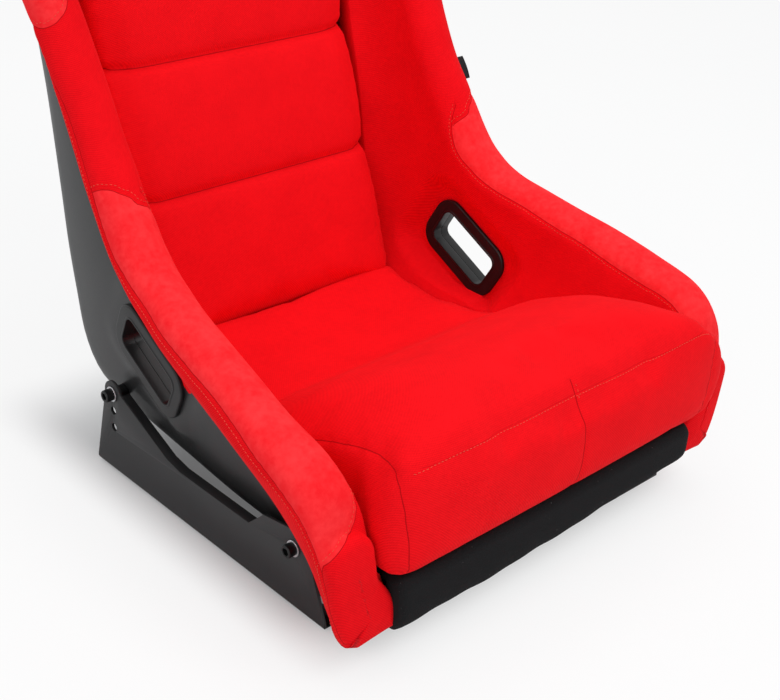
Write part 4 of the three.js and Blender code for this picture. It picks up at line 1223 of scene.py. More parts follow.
class Surface:
    """A finished piece's surface, to lay thread on."""

    def __init__(self, obj: bpy.types.Object) -> None:
        """Keeps the surface's faces for searching."""
        mesh = obj.data
        self.tree = BVHTree.FromPolygons([v.co for v in mesh.vertices], [p.vertices for p in mesh.polygons])

    def lay(self, line: Array, proud: float = 0.15, sideways: float = 0.0) -> Array:
        """Lays a line on the surface.

        Args:
            line: the line's points, in metres.
            proud: how far it stands off the surface, in millimetres.
            sideways: how far it is moved along the surface, to the left of its run, in millimetres.

        Returns:
            The laid points.
        """
        out = []
        runs = np.gradient(line, axis=0)
        for point, run in zip(line, runs):
            hit, normal, _, _ = self.tree.find_nearest(Vector(point))
            if sideways:
                way = normal.cross(Vector(run)).normalized()
                hit, normal, _, _ = self.tree.find_nearest(hit + way * sideways * MM)
            out.append(np.array(hit + normal * proud * MM))
        return np.array(out)


def distances(points: Array, line: Array) -> tuple[Array, Array]:
    """Each point's distance to a line, in the line's units, and the nearest of its points."""
    tree = KDTree(len(line))
    for i, point in enumerate(line):
        tree.insert(point, i)
    tree.balance()
    found = [tree.find(p) for p in points]
    return np.array([f[2] for f in found]), np.array([f[1] for f in found])


def groove(distance: Array, along_seam: Array, depth: float = 0.75) -> Array:
    """How deep a sewn seam pulls the cover in, in millimetres.

    Args:
        distance: the distance from the seam.
        along_seam: a length along the seam, for the small puckers.
        depth: the depth in the seam itself.

    Returns:
        The depth at each point.
    """
    pucker = 1 + 0.3 * np.sin(along_seam * 2 * math.pi / 11) * np.exp(-((distance / 7) ** 2))
    return depth * (np.exp(-((distance / 1.5) ** 2)) + 0.8 * np.exp(-((distance / 6.5) ** 2)) * pucker)


# ------------------------------------------------------------------ bolsters


class Run(Enum):
    """How a seam runs over a bolster: along its length, or across it."""

    ALONG = 0
    ACROSS = 1


@dataclass(frozen=True)
class SeamLine:
    """A seam on a bolster, as pairs of station place and ring place."""

    places: tuple[tuple[float, float], ...]
    run: Run
    family: int

    def fine(self, steps: int = 24) -> Array:
        """The seam's places, close together on a smooth curve."""
        points = np.array(self.places, float)
        padded = np.vstack([2 * points[0] - points[1], points, 2 * points[-1] - points[-2]])
        out = []
        for i in range(1, len(padded) - 2):
            a, b, c, d = padded[i - 1 : i + 3]
            for t in np.linspace(0, 1, steps, endpoint=False):
                m0, m1 = 0.5 * (c - a), 0.5 * (d - b)
                out.append(b + m0 * t + (3 * (c - b) - 2 * m0 - m1) * t**2 + (2 * (b - c) + m0 + m1) * t**3)
        out.append(points[-1])
        return np.array(out)

    def side_of(self, places: Array) -> Array:
        """1 or -1 for each place, by the side of the seam that it lies on."""
        line = self.fine()
        axis, other = (0, 1) if self.run is Run.ALONG else (1, 0)
        order = np.argsort(line[:, axis])
        level = np.interp(places[:, axis], line[order, axis], line[order, other])
        return np.where(places[:, other] >= level, 1.0, -1.0)


@dataclass
class BolsterCover:
    """The sewn cover over the thigh, waist and shoulder padding of each side."""

    form: BucketForm
    slots: BeltSlots
    end: float = 21.6
    pitch: float = 2.7
    nose: float = 13.0
    nose_round: float = 10.0
    leg_flap: tuple[tuple[float, float], ...] = ((190.0, 27.0), (186.0, 8.0), (252.0, 3.0))
    leg_swell: float = 5.0
    leg_middle: tuple[tuple[float, float], tuple[float, float]] = ((246.0, 84.0), (232.0, 34.0))
    leg_waist: float = 5.0
    far_rise: float = 9.0
    inner_stitch: float = -3.0
    outer_stitch: float = 5.0
    outer_seam: SeamLine = SeamLine(
        ((16.2, 0.90), (15.75, 0.98), (15.05, 1.08), (13.65, 1.10), (11.30, 1.07), (9.55, 1.08), (7.20, 1.13),
         (5.90, 1.13), (4.90, 1.15), (4.10, 1.20), (3.25, 1.21), (2.60, 1.15), (2.03, 1.09), (1.43, 1.04),
         (0.95, 0.98), (0.45, 0.99), (0.05, 1.00), (-0.10, 0.82), (-0.15, 0.55), (-0.20, 0.30),
         (-0.26, 0.05)),
        Run.ALONG, 0,
    )
    inner_seam: SeamLine = SeamLine(
        ((12.25, 1.70), (11.60, 1.82), (10.30, 1.90), (8.55, 1.87), (7.25, 1.85),
         (5.90, 1.85), (4.60, 1.90), (3.50, 1.98), (2.75, 1.98), (2.30, 1.95), (1.60, 1.92), (1.10, 1.88)),
        Run.ALONG, 1,
    )
    suede_start: SeamLine = SeamLine(
        ((0.05, 0.97), (-0.02, 1.07), (-0.17, 1.17), (-0.28, 1.30), (-0.23, 1.44), (0.04, 1.63), (0.55, 1.78),
         (1.10, 1.88)),
        Run.ACROSS, 2,
    )
    suede_end: SeamLine = SeamLine(
        ((12.65, 1.10), (12.65, 1.18), (12.60, 1.25), (12.50, 1.33), (12.30, 1.40), (12.05, 1.50),
         (11.70, 1.58), (11.50, 1.80)),
        Run.ACROSS, 2,
    )
    patch_end: SeamLine = SeamLine(
        ((16.55, 0.90), (16.60, 1.00), (16.60, 1.13), (16.65, 1.23), (16.75, 1.35), (16.85, 1.43),
         (17.05, 1.57), (17.60, 1.80), (18.60, 1.95), (21.60, 1.95)),
        Run.ACROSS, 2,
    )

    def ring_places(self) -> Array:
        """The ring places of every row."""
        parts = [(0, 1, 44), (1, 2, 34), (2, 3, 34), (3, 4, 8)]
        return np.concatenate([np.linspace(a, b, n, endpoint=False) for a, b, n in parts] + [[4.0]])

    def leg_end(self, ring: Array) -> tuple[list[Array], list[float]]:
        """The rows ahead of the shell's front edge, from the middle of the leg's face backwards.

        Args:
            ring: the ring places.

        Returns:
            The rows of points in millimetres, and a place for each, which goes on below the first station's.
        """
        first = self.form.station(0.0)
        base = self.form.pad_ring(first, ring)
        base[:, 0] += self.leg_waist * smoothstep(2.2, 3.0, ring) * (ring <= 3)
        base[:, 0] += self.leg_swell * (1 - smoothstep(0, 0.9, ring))
        foot, hem = base[np.argmin(abs(ring - 3))], base[0]
        under = rounded([tuple(foot), *self.leg_flap, tuple(hem)], [0, 16, 14, 18, 0], 7)
        base[ring > 3] = along(under, ring[ring > 3] - 3)
        run = np.roll(base, -1, axis=0) - np.roll(base, 1, axis=0)
        for _ in range(3):
            run = (np.roll(run, 1, axis=0) + 2 * run + np.roll(run, -1, axis=0)) / 4
        run /= np.linalg.norm(run, axis=1)[:, None]
        inward = np.stack([-run[:, 1], run[:, 0]], axis=1)
        flat, rows, stations = self.nose - self.nose_round, [], []
        for step, turn in enumerate(np.radians([0, 18, 36, 54, 70, 84])):
            line = base + inward * self.nose_round * (1 - math.cos(turn))
            row = self.form.place(first, line)
            row[:, 1] -= (flat if step else 0.4 * flat) + self.nose_round * math.sin(turn)
            rows.append(row)
            stations.append(-0.1 - 0.1 * step)
        top, bottom = (np.array(p) for p in self.leg_middle)
        axis = bottom - top
        share = np.clip((line - top) @ axis / (axis @ axis), 0, 1)
        middle = top + share[:, None] * axis
        for step, move in enumerate(np.linspace(0, 1, 11)[1:]):
            row = self.form.place(first, line + (middle - line) * move)
            row[:, 1] -= self.nose + 2.0 * math.sin(move * math.pi / 2)
            rows.append(row)
            stations.append(-0.7 - 0.1 * step)
        return rows[::-1], stations[::-1]

    def rows(self) -> tuple[Array, Array, Array]:
        """The cover's rows of points in millimetres, the place of each row, and the ring places."""
        ring = self.ring_places()
        rows, stations = self.leg_end(ring)
        for u in self.form.even_places(0.0, self.end, self.pitch):
            st = self.form.station(u)
            rows.append(self.form.place(st, self.form.pad_ring(st, ring)))
            stations.append(u)
        return np.array(rows), np.array(stations), ring

    @staticmethod
    def seam_points(seam: SeamLine, rows: Array, stations: Array, ring: Array) -> Array:
        """A seam's points on the rows, in the rows' units."""
        out = []
        for u, k in seam.fine():
            i = int(np.clip(np.searchsorted(stations, u) - 1, 0, len(stations) - 2))
            j = int(np.clip(np.searchsorted(ring, k) - 1, 0, len(ring) - 2))
            a = (u - stations[i]) / (stations[i + 1] - stations[i])
            b = (k - ring[j]) / (ring[j + 1] - ring[j])
            near = rows[i, j] * (1 - b) + rows[i, j + 1] * b
            far = rows[i + 1, j] * (1 - b) + rows[i + 1, j + 1] * b
            out.append(near * (1 - a) + far * a)
        return np.array(out)

    def risen(self, points: Array) -> Array:
        """Points in metres with the foot of the leg a little higher, as it sits on the left."""
        drawn = self.form.drawing(points)
        share = (1 - smoothstep(60, 120, drawn[:, 2])) * (1 - smoothstep(-250, -225, drawn[:, 1]))
        return points + (self.far_rise * share * MM)[:, None] * np.array([0.0, 0.0, 1.0])

    def patches(self, places: Array) -> Array:
        """1 where a place lies in a brushed panel, else -1."""
        beyond_outer = self.outer_seam.side_of(places) > 0
        before_inner = self.inner_seam.side_of(places) < 0
        before_end = self.suede_end.side_of(places) < 0
        thigh = beyond_outer & before_inner & before_end & (self.suede_start.side_of(places) > 0)
        shoulder = (self.patch_end.side_of(places) > 0) & (places[:, 1] > 0.86) & (places[:, 1] < 1.95)
        return np.where(thigh | shoulder, 1.0, -1.0)

    def left_cover(self) -> tuple[bpy.types.Object, list[tuple[SeamLine, Array]]]:
        """The cover of the left side, finished, and its seams as lines in metres."""
        rows, stations, ring = self.rows()
        obj = new_object("bolster_cover_left", self.form.framed(rows.reshape(-1, 3)), loft(rows, caps=True))
        places = np.stack(np.broadcast_arrays(stations[:, None], ring[None, :]), axis=-1).reshape(-1, 2)
        points = coordinates(obj)
        inner = (places[:, 1] > 1.6) & (places[:, 1] <= 3.05)
        points += self.slots.press(points, "lap", True, Side.LEFT, (2.0, 26.0)) * inner[:, None]
        set_coordinates(obj, points)
        signed, masks = np.full((len(points), 3), FAR), np.zeros((len(points), 3))
        cover, depth = places[:, 1] <= 3.0, np.zeros(len(points))
        surface, seams = Surface(obj), []
        for seam in (self.outer_seam, self.inner_seam, self.suede_start, self.suede_end, self.patch_end):
            line = surface.lay(self.form.framed(self.seam_points(seam, rows, stations, ring)), 0.0)
            seams.append((seam, line))
            far, nearest = distances(points, evenly(line, 0.6 * MM))
            far = far / MM
            closer = cover & (far < abs(signed[:, seam.family]))
            signed[closer, seam.family] = (far * seam.side_of(places))[closer]
            masks[closer, seam.family] = (far < 6)[closer]
            depth = np.maximum(depth, groove(far, nearest * 0.6) * cover)
        edge = np.abs(signed).min(axis=1)
        work = bmesh.new()
        work.from_mesh(obj.data)
        bmesh.ops.recalc_face_normals(work, faces=work.faces)
        work.to_mesh(obj.data)
        work.free()
        set_coordinates(obj, points - normals(obj) * depth[:, None] * MM)
        store(obj, SEAMS, signed)
        store(obj, SEAM_MASKS, masks)
        store(obj, SUEDE, self.patches(places) * edge)
        obj.data.shade_smooth()
        return obj, seams

    def build(self) -> None:
        """Makes both covers and their thread."""
        left, seams = self.left_cover()
        right = linked("bolster_cover_right", left.data.copy())
        set_coordinates(right, coordinates(right) * MIRROR)
        right.data.flip_normals()
        lines = []
        surface = Surface(left)
        for seam, line in seams:
            beside = -self.outer_stitch
            if seam is self.inner_seam:
                beside = self.inner_stitch
            elif seam is self.outer_seam:
                beside = self.outer_stitch
            lines.append(surface.lay(evenly(line, 2.0 * MM), 0.1, beside))
        set_coordinates(left, self.risen(coordinates(left)))
        for obj, side in ((left, Side.LEFT), (right, Side.RIGHT)):
            carve(obj, self.slots.tunnel("lap", side), "DIFFERENCE")
            obj.data.shade_smooth()
            nodes = [f"{part}_bolster_{side.word}" for part in ("thigh", "waist", "shoulder")]
            replace(obj, Body.BUCKET, Finish.BOLSTER, "cloth", *nodes)
        for side in Side:
            sewn = [self.risen(line) if side is Side.LEFT else line * MIRROR for line in lines]
            Stitching(f"bolster_thread_{side.word}", Body.BUCKET, Finish.THREAD, "cloth").build(sewn)


# ------------------------------------------------------------------ cushions


@dataclass
class Upholstery:
    """A stuffed piece: a soft copy of a solid, blown up as sewn cloth and then grooved along its seams."""

    form: BucketForm
    node: str
    body: Body
    name: str
    finish: Finish = Finish.CLOTH
    voxel: float = 6.0
    shrink: float = -2.5
    cap: float = 8.0
    pressure: float = 4.0
    steps: int = 20
    soften: int = 8
    fill: float = 0.85
    slot: str = "cloth"

    def held(self, points: Array, normal: Array) -> Array:
        """0 to 1 for each point in the drawing: how firmly it keeps its place."""
        return np.zeros(len(points))

    def seams(self, points: Array, normal: Array, surface: Surface) -> tuple[Array, Array]:
        """Signed distances to up to three seam families, and where each is sewn."""
        return np.full((len(points), 3), FAR), np.zeros((len(points), 3))

    def shape(self, points: Array, normal: Array) -> Array:
        """Extra movement along the normal, in millimetres, for points in the drawing."""
        return np.zeros(len(points))

    def cut(self, points: Array) -> Array:
        """The cover's own cut: where points of the solid go, in the drawing, before it is stuffed."""
        return points

    def thread(self, surface: Surface) -> list[Array]:
        """The lines that are stitched in sight, in metres."""
        return []

    def copy(self) -> bpy.types.Object:
        """The solid's merged, even and softened copy."""
        obj = copied(self.name, self.node)
        obj.data.materials.clear()
        remesh = obj.modifiers.new("even", "REMESH")
        remesh.mode = "VOXEL"
        remesh.voxel_size = self.voxel * MM
        smooth = obj.modifiers.new("soften", "SMOOTH")
        smooth.factor, smooth.iterations = 0.5, self.soften
        settle(obj)
        set_coordinates(obj, self.form.framed(self.cut(self.form.drawing(coordinates(obj)))))
        return obj

    def blow_up(self, obj: bpy.types.Object) -> None:
        """Blows the copy up as cloth, with its travel capped."""
        rest = coordinates(obj)
        normal = normals(obj)
        held = self.held(self.form.drawing(rest), normal)
        start = rest - normal * (self.shrink * MM * (1 - held))[:, None]
        set_coordinates(obj, start)
        group = obj.vertex_groups.new(name="held")
        for i in np.nonzero(held > 0.01)[0]:
            group.add([int(i)], float(held[i]), "REPLACE")
        cloth = obj.modifiers.new("cloth", "CLOTH")
        settings = cloth.settings
        settings.quality = 5
        settings.use_pressure = True
        settings.uniform_pressure_force = self.pressure
        settings.effector_weights.gravity = 0
        settings.vertex_group_mass = "held"
        scene = bpy.context.scene
        for step in range(1, self.steps + 1):
            scene.frame_set(step)
        graph = bpy.context.evaluated_depsgraph_get()
        blown = coordinates(obj.evaluated_get(graph))
        obj.modifiers.clear()
        scene.frame_set(1)
        move = (blown - start) / MM
        travel = np.linalg.norm(move, axis=1)
        limit = self.cap * np.tanh(travel / self.cap) / np.maximum(travel, 1e-6)
        set_coordinates(obj, start + move * (limit * (1 - held))[:, None] * MM)

    def build(self) -> bpy.types.Object:
        """Makes the piece."""
        obj = self.copy()
        self.blow_up(obj)
        fine = obj.modifiers.new("fine", "SUBSURF")
        fine.levels = fine.render_levels = 1
        settle(obj)
        points, normal = coordinates(obj), normals(obj)
        drawn = self.form.drawing(points)
        signed, masks = self.seams(drawn, normal, Surface(obj))
        shown = np.where(masks > 0.5, abs(signed), FAR).min(axis=1)
        run = drawn @ np.array([0.7, 0.5, 0.6])
        move = self.shape(drawn, normal) - groove(shown, run) * masks.max(axis=1)
        set_coordinates(obj, points + normal * move[:, None] * MM)
        store(obj, SEAMS, signed)
        store(obj, SEAM_MASKS, masks)
        obj.data.shade_smooth()
        obj.name = self.name
        replace(obj, self.body, self.finish, self.slot, self.node)
        lines = self.thread(Surface(obj))
        if lines:
            Stitching(f"{self.node}_thread", self.body, Finish.THREAD, self.slot).build(lines)
        return obj


@dataclass
class SeatCushion(Upholstery):
    """The thigh cushion with its side panels and rolled front."""

    front: float = -274.0
    top_seam: float = 204.0
    half: float = 206.0
    crown: float = 30.0
    flare: tuple[float, float] = (40.0, 14.0)
    tuck: float = 19.0
    side_seam: tuple[tuple[float, float, float], ...] = (
        (188, -70, 128), (190, -100, 146), (192, -132, 162), (195, -160, 178), (198, -197, 193),
        (203, -224, 203), (210, -248, 203), (214, -264, 192), (211, -274, 170), (206, -277, 140),
        (202, -275, 98),
    )

    def held(self, points: Array, normal: Array) -> Array:
        """The underside and the back rest on the bucket."""
        return smoothstep(0.35, 0.8, -normal[:, 2]) * smoothstep(-235, -200, points[:, 1])

    def cut(self, points: Array) -> Array:
        """The top is crowned across, the front flares out ahead of the legs, and the rear tucks in."""
        x, y, z = points.T
        away = np.clip((abs(x) - 105) / (self.half - 105), 0, 1)
        deep = self.crown * (1 - smoothstep(-90, 20, y)) * (1 - 0.4 * smoothstep(-225, -274, y))
        high = np.clip((z - 95) / 110, 0, 1)
        profile = np.sin(np.clip((z - 90) / 125, 0, 1) * math.pi) ** 0.7
        reach = np.where(x > 0, *self.flare)
        out = reach * smoothstep(120, self.half, abs(x)) * (1 - smoothstep(-252, -205, y)) * profile
        back = self.tuck * smoothstep(80, 135, y) * smoothstep(60, 100, z)
        return np.stack([x + np.sign(x) * out, y + back, z - deep * away**2.3 * high + 0.4 * back], axis=1)

    def seams(self, points: Array, normal: Array, surface: Surface) -> tuple[Array, Array]:
        """The side seams, the seam along the front edge and the middle seam of the front."""
        signed, masks = super().seams(points, normal, surface)
        x, y, z = points.T
        sides = np.array(self.side_seam)
        for side in Side:
            line = self.form.framed(evenly(sides * np.array([side.value, 1, 1]), 0.6))
            line = self.form.drawing(surface.lay(line, 0.0))
            line = evenly(along(line, np.linspace(0, 1, 60)), 0.6)
            far, nearest = distances(points, line)
            near = (far < 40) & (x * side.value > 0)
            sign = np.where(abs(x) > abs(line[nearest][:, 0]), 1, -1)
            signed[near, 0] = (far * sign)[near]
            masks[near & (nearest > 2) & (nearest < len(line) - 3), 0] = 1.0
        ahead = (y < -246) & (normal[:, 1] < -0.2)
        signed[:, 1] = z - self.top_seam
        masks[:, 1] = 0.35 * (ahead & (abs(x) < 190))
        signed[:, 2] = x
        masks[:, 2] = (y < -250) & (z < self.top_seam + 12) & (normal[:, 1] < -0.3)
        return signed, masks

    def thread(self, surface: Surface) -> list[Array]:
        """A top stitch above the front seam, and one beside the middle seam."""
        across = [(x, self.front - 4, self.top_seam + 3.0) for x in np.linspace(-204, 204, 240)]
        down = [(2.6, self.front - 4, z) for z in np.linspace(self.top_seam + 14, self.top_seam + 1, 8)]
        return [surface.lay(self.form.framed(np.array(line))) for line in (across, down)]

    def shape(self, points: Array, normal: Array) -> Array:
        """A slight crown between the seams, drawn in at the corners."""
        ahead = smoothstep(0.5, 0.9, -normal[:, 1])
        rise = np.clip((points[:, 2] - 95) / (self.top_seam - 95), 0, 1)
        return 3.0 * ahead * (4 * rise * (1 - rise)) * (1 - np.clip(abs(points[:, 0]) / 210, 0, 1) ** 4)


@dataclass
class BackCushion(Upholstery):
    """The long back cushion with its sewn channels."""

    channels: tuple[float, ...] = (272.0, 399.0, 525.0)
    half: float = 160.0

    def held(self, points: Array, normal: Array) -> Array:
        """The rear face rests on the bucket's back."""
        return smoothstep(0.3, 0.7, normal[:, 1])

    def cut(self, points: Array) -> Array:
        """The foot reaches down and forward to the seat cushion."""
        x, y, z = points.T
        low = 1 - smoothstep(118, 190, z)
        wide = 4.0 * np.sign(x) * smoothstep(120, self.half, abs(x))
        return np.stack([x + wide, y - 5.0 * low, z - 6.0 * low], axis=1)

    def seams(self, points: Array, normal: Array, surface: Surface) -> tuple[Array, Array]:
        """The channels across the front."""
        signed, masks = super().seams(points, normal, surface)
        gaps = points[:, 2:] - np.array(self.channels)
        signed[:, 0] = gaps[np.arange(len(points)), abs(gaps).argmin(axis=1)]
        masks[:, 0] = normal[:, 1] < 0.25
        return signed, masks

    def shape(self, points: Array, normal: Array) -> Array:
        """Each panel swells between its channels, and the edges draw in at them."""
        levels = np.array([130.0, *self.channels, 640.0])
        index = np.clip(np.searchsorted(levels, points[:, 2]) - 1, 0, len(levels) - 2)
        share = np.clip((points[:, 2] - levels[index]) / (levels[index + 1] - levels[index]), 0, 1)
        swell = (4 * share * (1 - share)) ** 0.45
        front = smoothstep(-0.2, 0.5, -normal[:, 1])
        edge = smoothstep(0.6, 0.95, abs(normal[:, 0]))
        tuck = 2.0 * np.exp(-(((points[:, 2:] - np.array(self.channels)) / 5.0) ** 2)).sum(axis=1)
        return (9.0 * swell - 5.5 - tuck) * front + (4.0 * swell - 1.5) * edge * (1 - front)


@dataclass
class HeadSurround(Upholstery):
    """The padded rim round the head."""

    def held(self, points: Array, normal: Array) -> Array:
        """The rear and the ends stay put."""
        return smoothstep(0.2, 0.6, normal[:, 1])


# ------------------------------------------------------------------ small parts


@dataclass
class LipCover:
    """The padded felt over the shell's front edge."""

    form: BucketForm
    half: float = 204.0
    sag: float = 2.5
    rise: float = 13.0
    columns: int = 72

    def build(self) -> bpy.types.Object:
        """Makes the cover."""
        section = rounded(
            [(-246.3, 31), (-246.3, 90.3), (-238, 90.3), (-238, 94), (-263, 94), (-269, 87), (-269, 58),
             (-265, 43), (-255, 32)],
            [1, 1, 0.5, 2, 3, 5, 14, 8, 6], 5,
        )
        rings = []
        for x in np.linspace(-self.half, self.half, self.columns):
            share = x / self.half
            end = 1 - smoothstep(0.965, 1.0, abs(share)) * 0.25
            ripple = 0.7 * math.sin(x / 17.0) + 0.5 * math.sin(x / 7.3 + 1.0)
            middle = section.mean(axis=0)
            ring = middle + (section - middle) * end
            low = np.clip((75 - ring[:, 1]) / 45, 0, 1)
            drop = self.sag * (1 - share**2) + 0.5 * ripple - self.rise * smoothstep(-0.6, 1.0, share)
            ring = ring + np.stack([-0.6 * ripple * low, -drop * low], axis=1)
            rings.append(self.form.framed(np.insert(ring, 0, x, axis=1)))
        obj = new_object("front_lip_felt", np.concatenate(rings), loft(np.array(rings)))
        tidy_mesh(obj)
        obj.data.set_sharp_from_angle(angle=math.radians(60))
        return replace(obj, Body.BUCKET, Finish.FELT, "felt", "front_lip_cover")


@dataclass
class SteelBracket:
    """A side bracket with its pressed edges eased."""

    side: Side
    ease: float = 0.6

    def build(self) -> bpy.types.Object:
        """Makes the bracket from its solid, with the triangles joined and the edges rounded."""
        node = f"side_bracket_{self.side.word}"
        obj = copied(f"{node}_plate", node)
        work = bmesh.new()
        work.from_mesh(obj.data)
        bmesh.ops.dissolve_limit(work, angle_limit=math.radians(1.0), verts=work.verts, edges=work.edges)
        work.to_mesh(obj.data)
        work.free()
        bevel = obj.modifiers.new("ease", "BEVEL")
        bevel.width, bevel.segments, bevel.limit_method = self.ease * MM, 3, "ANGLE"
        bevel.angle_limit = math.radians(32)
        bevel.harden_normals = True
        settle(obj)
        obj.data.shade_smooth()
        obj.data.set_sharp_from_angle(angle=math.radians(30))
        return replace(obj, Body.BUCKET, Finish.POWDER, "bracket", node)


@dataclass
class BoltSet:
    """One bolt with its washer, spacer and threaded insert."""

    form: BucketForm
    place: str
    side: Side
    head_radius: float = 6.5
    head_length: float = 8.0
    socket_radius: float = 3.5
    socket_depth: float = 4.5
    bore: float = 4.2
    washer: float = 8.2
    sleeve: float = 6.5
    segments: int = 64

    def centre(self) -> tuple[float, float, float]:
        """A point of the bolt's axis in the drawing, with x at 0."""
        low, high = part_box(f"{self.place}_washer_{self.side.word}")
        middle = self.form.drawing(np.array([(low + high) / 2]))[0]
        return (0.0, float(middle[1]), float(middle[2]))

    def span(self, part: str) -> tuple[str, float, float]:
        """A part's node and where it starts and ends along X, in millimetres."""
        node = f"{self.place}_{part}_{self.side.word}"
        low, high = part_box(node)
        ends = sorted((abs(low[0]), abs(high[0])))
        return node, ends[0] / MM, ends[1] / MM

    def bored(self, part: str, outer: float, ease: float, finish: Finish, slot: str) -> bpy.types.Object:
        """Makes a bored ring with eased edges.

        Args:
            part: the part's word in its node's name.
            outer: its radius, in millimetres.
            ease: the rounding of its outer edges, in millimetres.
            finish: its finish.
            slot: the record's material slot.

        Returns:
            slot: a word passed on to replace.
        """
        node, start, end = self.span(part)
        corners = [(start, self.bore), (end, self.bore), (end, outer), (start, outer)]
        section = rounded(corners, [0.1, 0.1, ease, ease], 3)
        turns = np.linspace(0, 2 * math.pi, self.segments, endpoint=False)
        _, y, z = self.centre()
        rings = []
        for turn in turns:
            ring = np.stack([section[:, 0] * self.side.value, y + section[:, 1] * math.cos(turn),
                             z + section[:, 1] * math.sin(turn)], axis=1)
            rings.append(self.form.framed(ring))
        rings = np.array(rings)
        obj = new_object(f"{node}_ring", rings.reshape(-1, 3), hoop(rings))
        tidy_mesh(obj, 0.002 * MM)
        obj.data.set_sharp_from_angle(angle=math.radians(40))
        return replace(obj, Body.BUCKET, finish, slot, node)

    def bolt(self) -> None:
        """Makes the socket-head bolt."""
        node, start, end = self.span("bolt")
        seat, radius = end - self.head_length, self.head_radius
        profile = [
            (start, 0.0), (start, 3.2), (start + 0.8, 4.0), (seat - 0.4, 4.0), (seat, 4.3),
            (seat, radius - 0.4), (seat + 0.5, radius), (end - 1.2, radius), (end - 0.9, radius - 0.1),
            (end - 0.25, radius - 0.55), (end, radius - 1.1), (end, 0.0),
        ]
        obj = lathe(f"{node}_turned", profile, self.form, self.centre(), self.side, self.segments, 0.22)
        _, y, z = self.centre()
        turns = np.linspace(0, 2 * math.pi, 6, endpoint=False)
        rings = []
        for x in (end - self.socket_depth, end - 0.45, end + 1.5):
            reach = self.socket_radius / math.cos(math.pi / 6) + max(0.0, x - end + 0.45)
            ring = [(x * self.side.value, y + reach * math.cos(t), z + reach * math.sin(t)) for t in turns]
            rings.append(self.form.framed(np.array(ring)))
        socket = new_object("socket", np.concatenate(rings), loft(np.array(rings)), False)
        tidy_mesh(socket)
        carve(obj, socket, "DIFFERENCE")
        obj.data.shade_smooth()
        obj.data.set_sharp_from_angle(angle=math.radians(28))
        replace(obj, Body.BUCKET, Finish.OXIDE, "bolt", node)

    def build(self) -> None:
        """Makes the set."""
        self.bolt()
        self.bored("washer", self.washer, 0.45, Finish.ZINC, "zinc")
        self.bored("spacer", self.sleeve, 0.5, Finish.OXIDE, "spacer")
        self.bored("insert", self.sleeve, 0.3, Finish.ZINC, "zinc")


@dataclass
class SideTag:
    """The blank woven label sewn into the left bolster's outer edge."""

    columns: int = 10
    curl: float = 1.2
    out: float = 5.0
    ease: float = 0.25

    def build(self) -> bpy.types.Object:
        """Makes the label from its solid, a little curled and with eased edges."""
        obj = copied("side_tag_label", "side_tag")
        work = bmesh.new()
        work.from_mesh(obj.data)
        bmesh.ops.dissolve_limit(work, angle_limit=math.radians(1.0), verts=work.verts, edges=work.edges)
        bmesh.ops.subdivide_edges(work, edges=work.edges, cuts=self.columns, use_grid_fill=True)
        work.to_mesh(obj.data)
        work.free()
        points = coordinates(obj)
        middle = points.mean(axis=0)
        axes = np.linalg.svd(points - middle, full_matrices=False)[2]
        reach = (points - middle) @ axes[0] / abs((points - middle) @ axes[0]).max()
        points += axes[2] * (self.curl * (reach**2 - 0.5) * MM)[:, None]
        set_coordinates(obj, points + np.array([self.out * MM, 0, 0]))
        bevel = obj.modifiers.new("ease", "BEVEL")
        bevel.width, bevel.segments, bevel.limit_method = self.ease * MM, 2, "ANGLE"
        settle(obj)
        obj.data.shade_smooth()
        return replace(obj, Body.BUCKET, Finish.LABEL, "label", "side_tag")


# ------------------------------------------------------------------ the studio


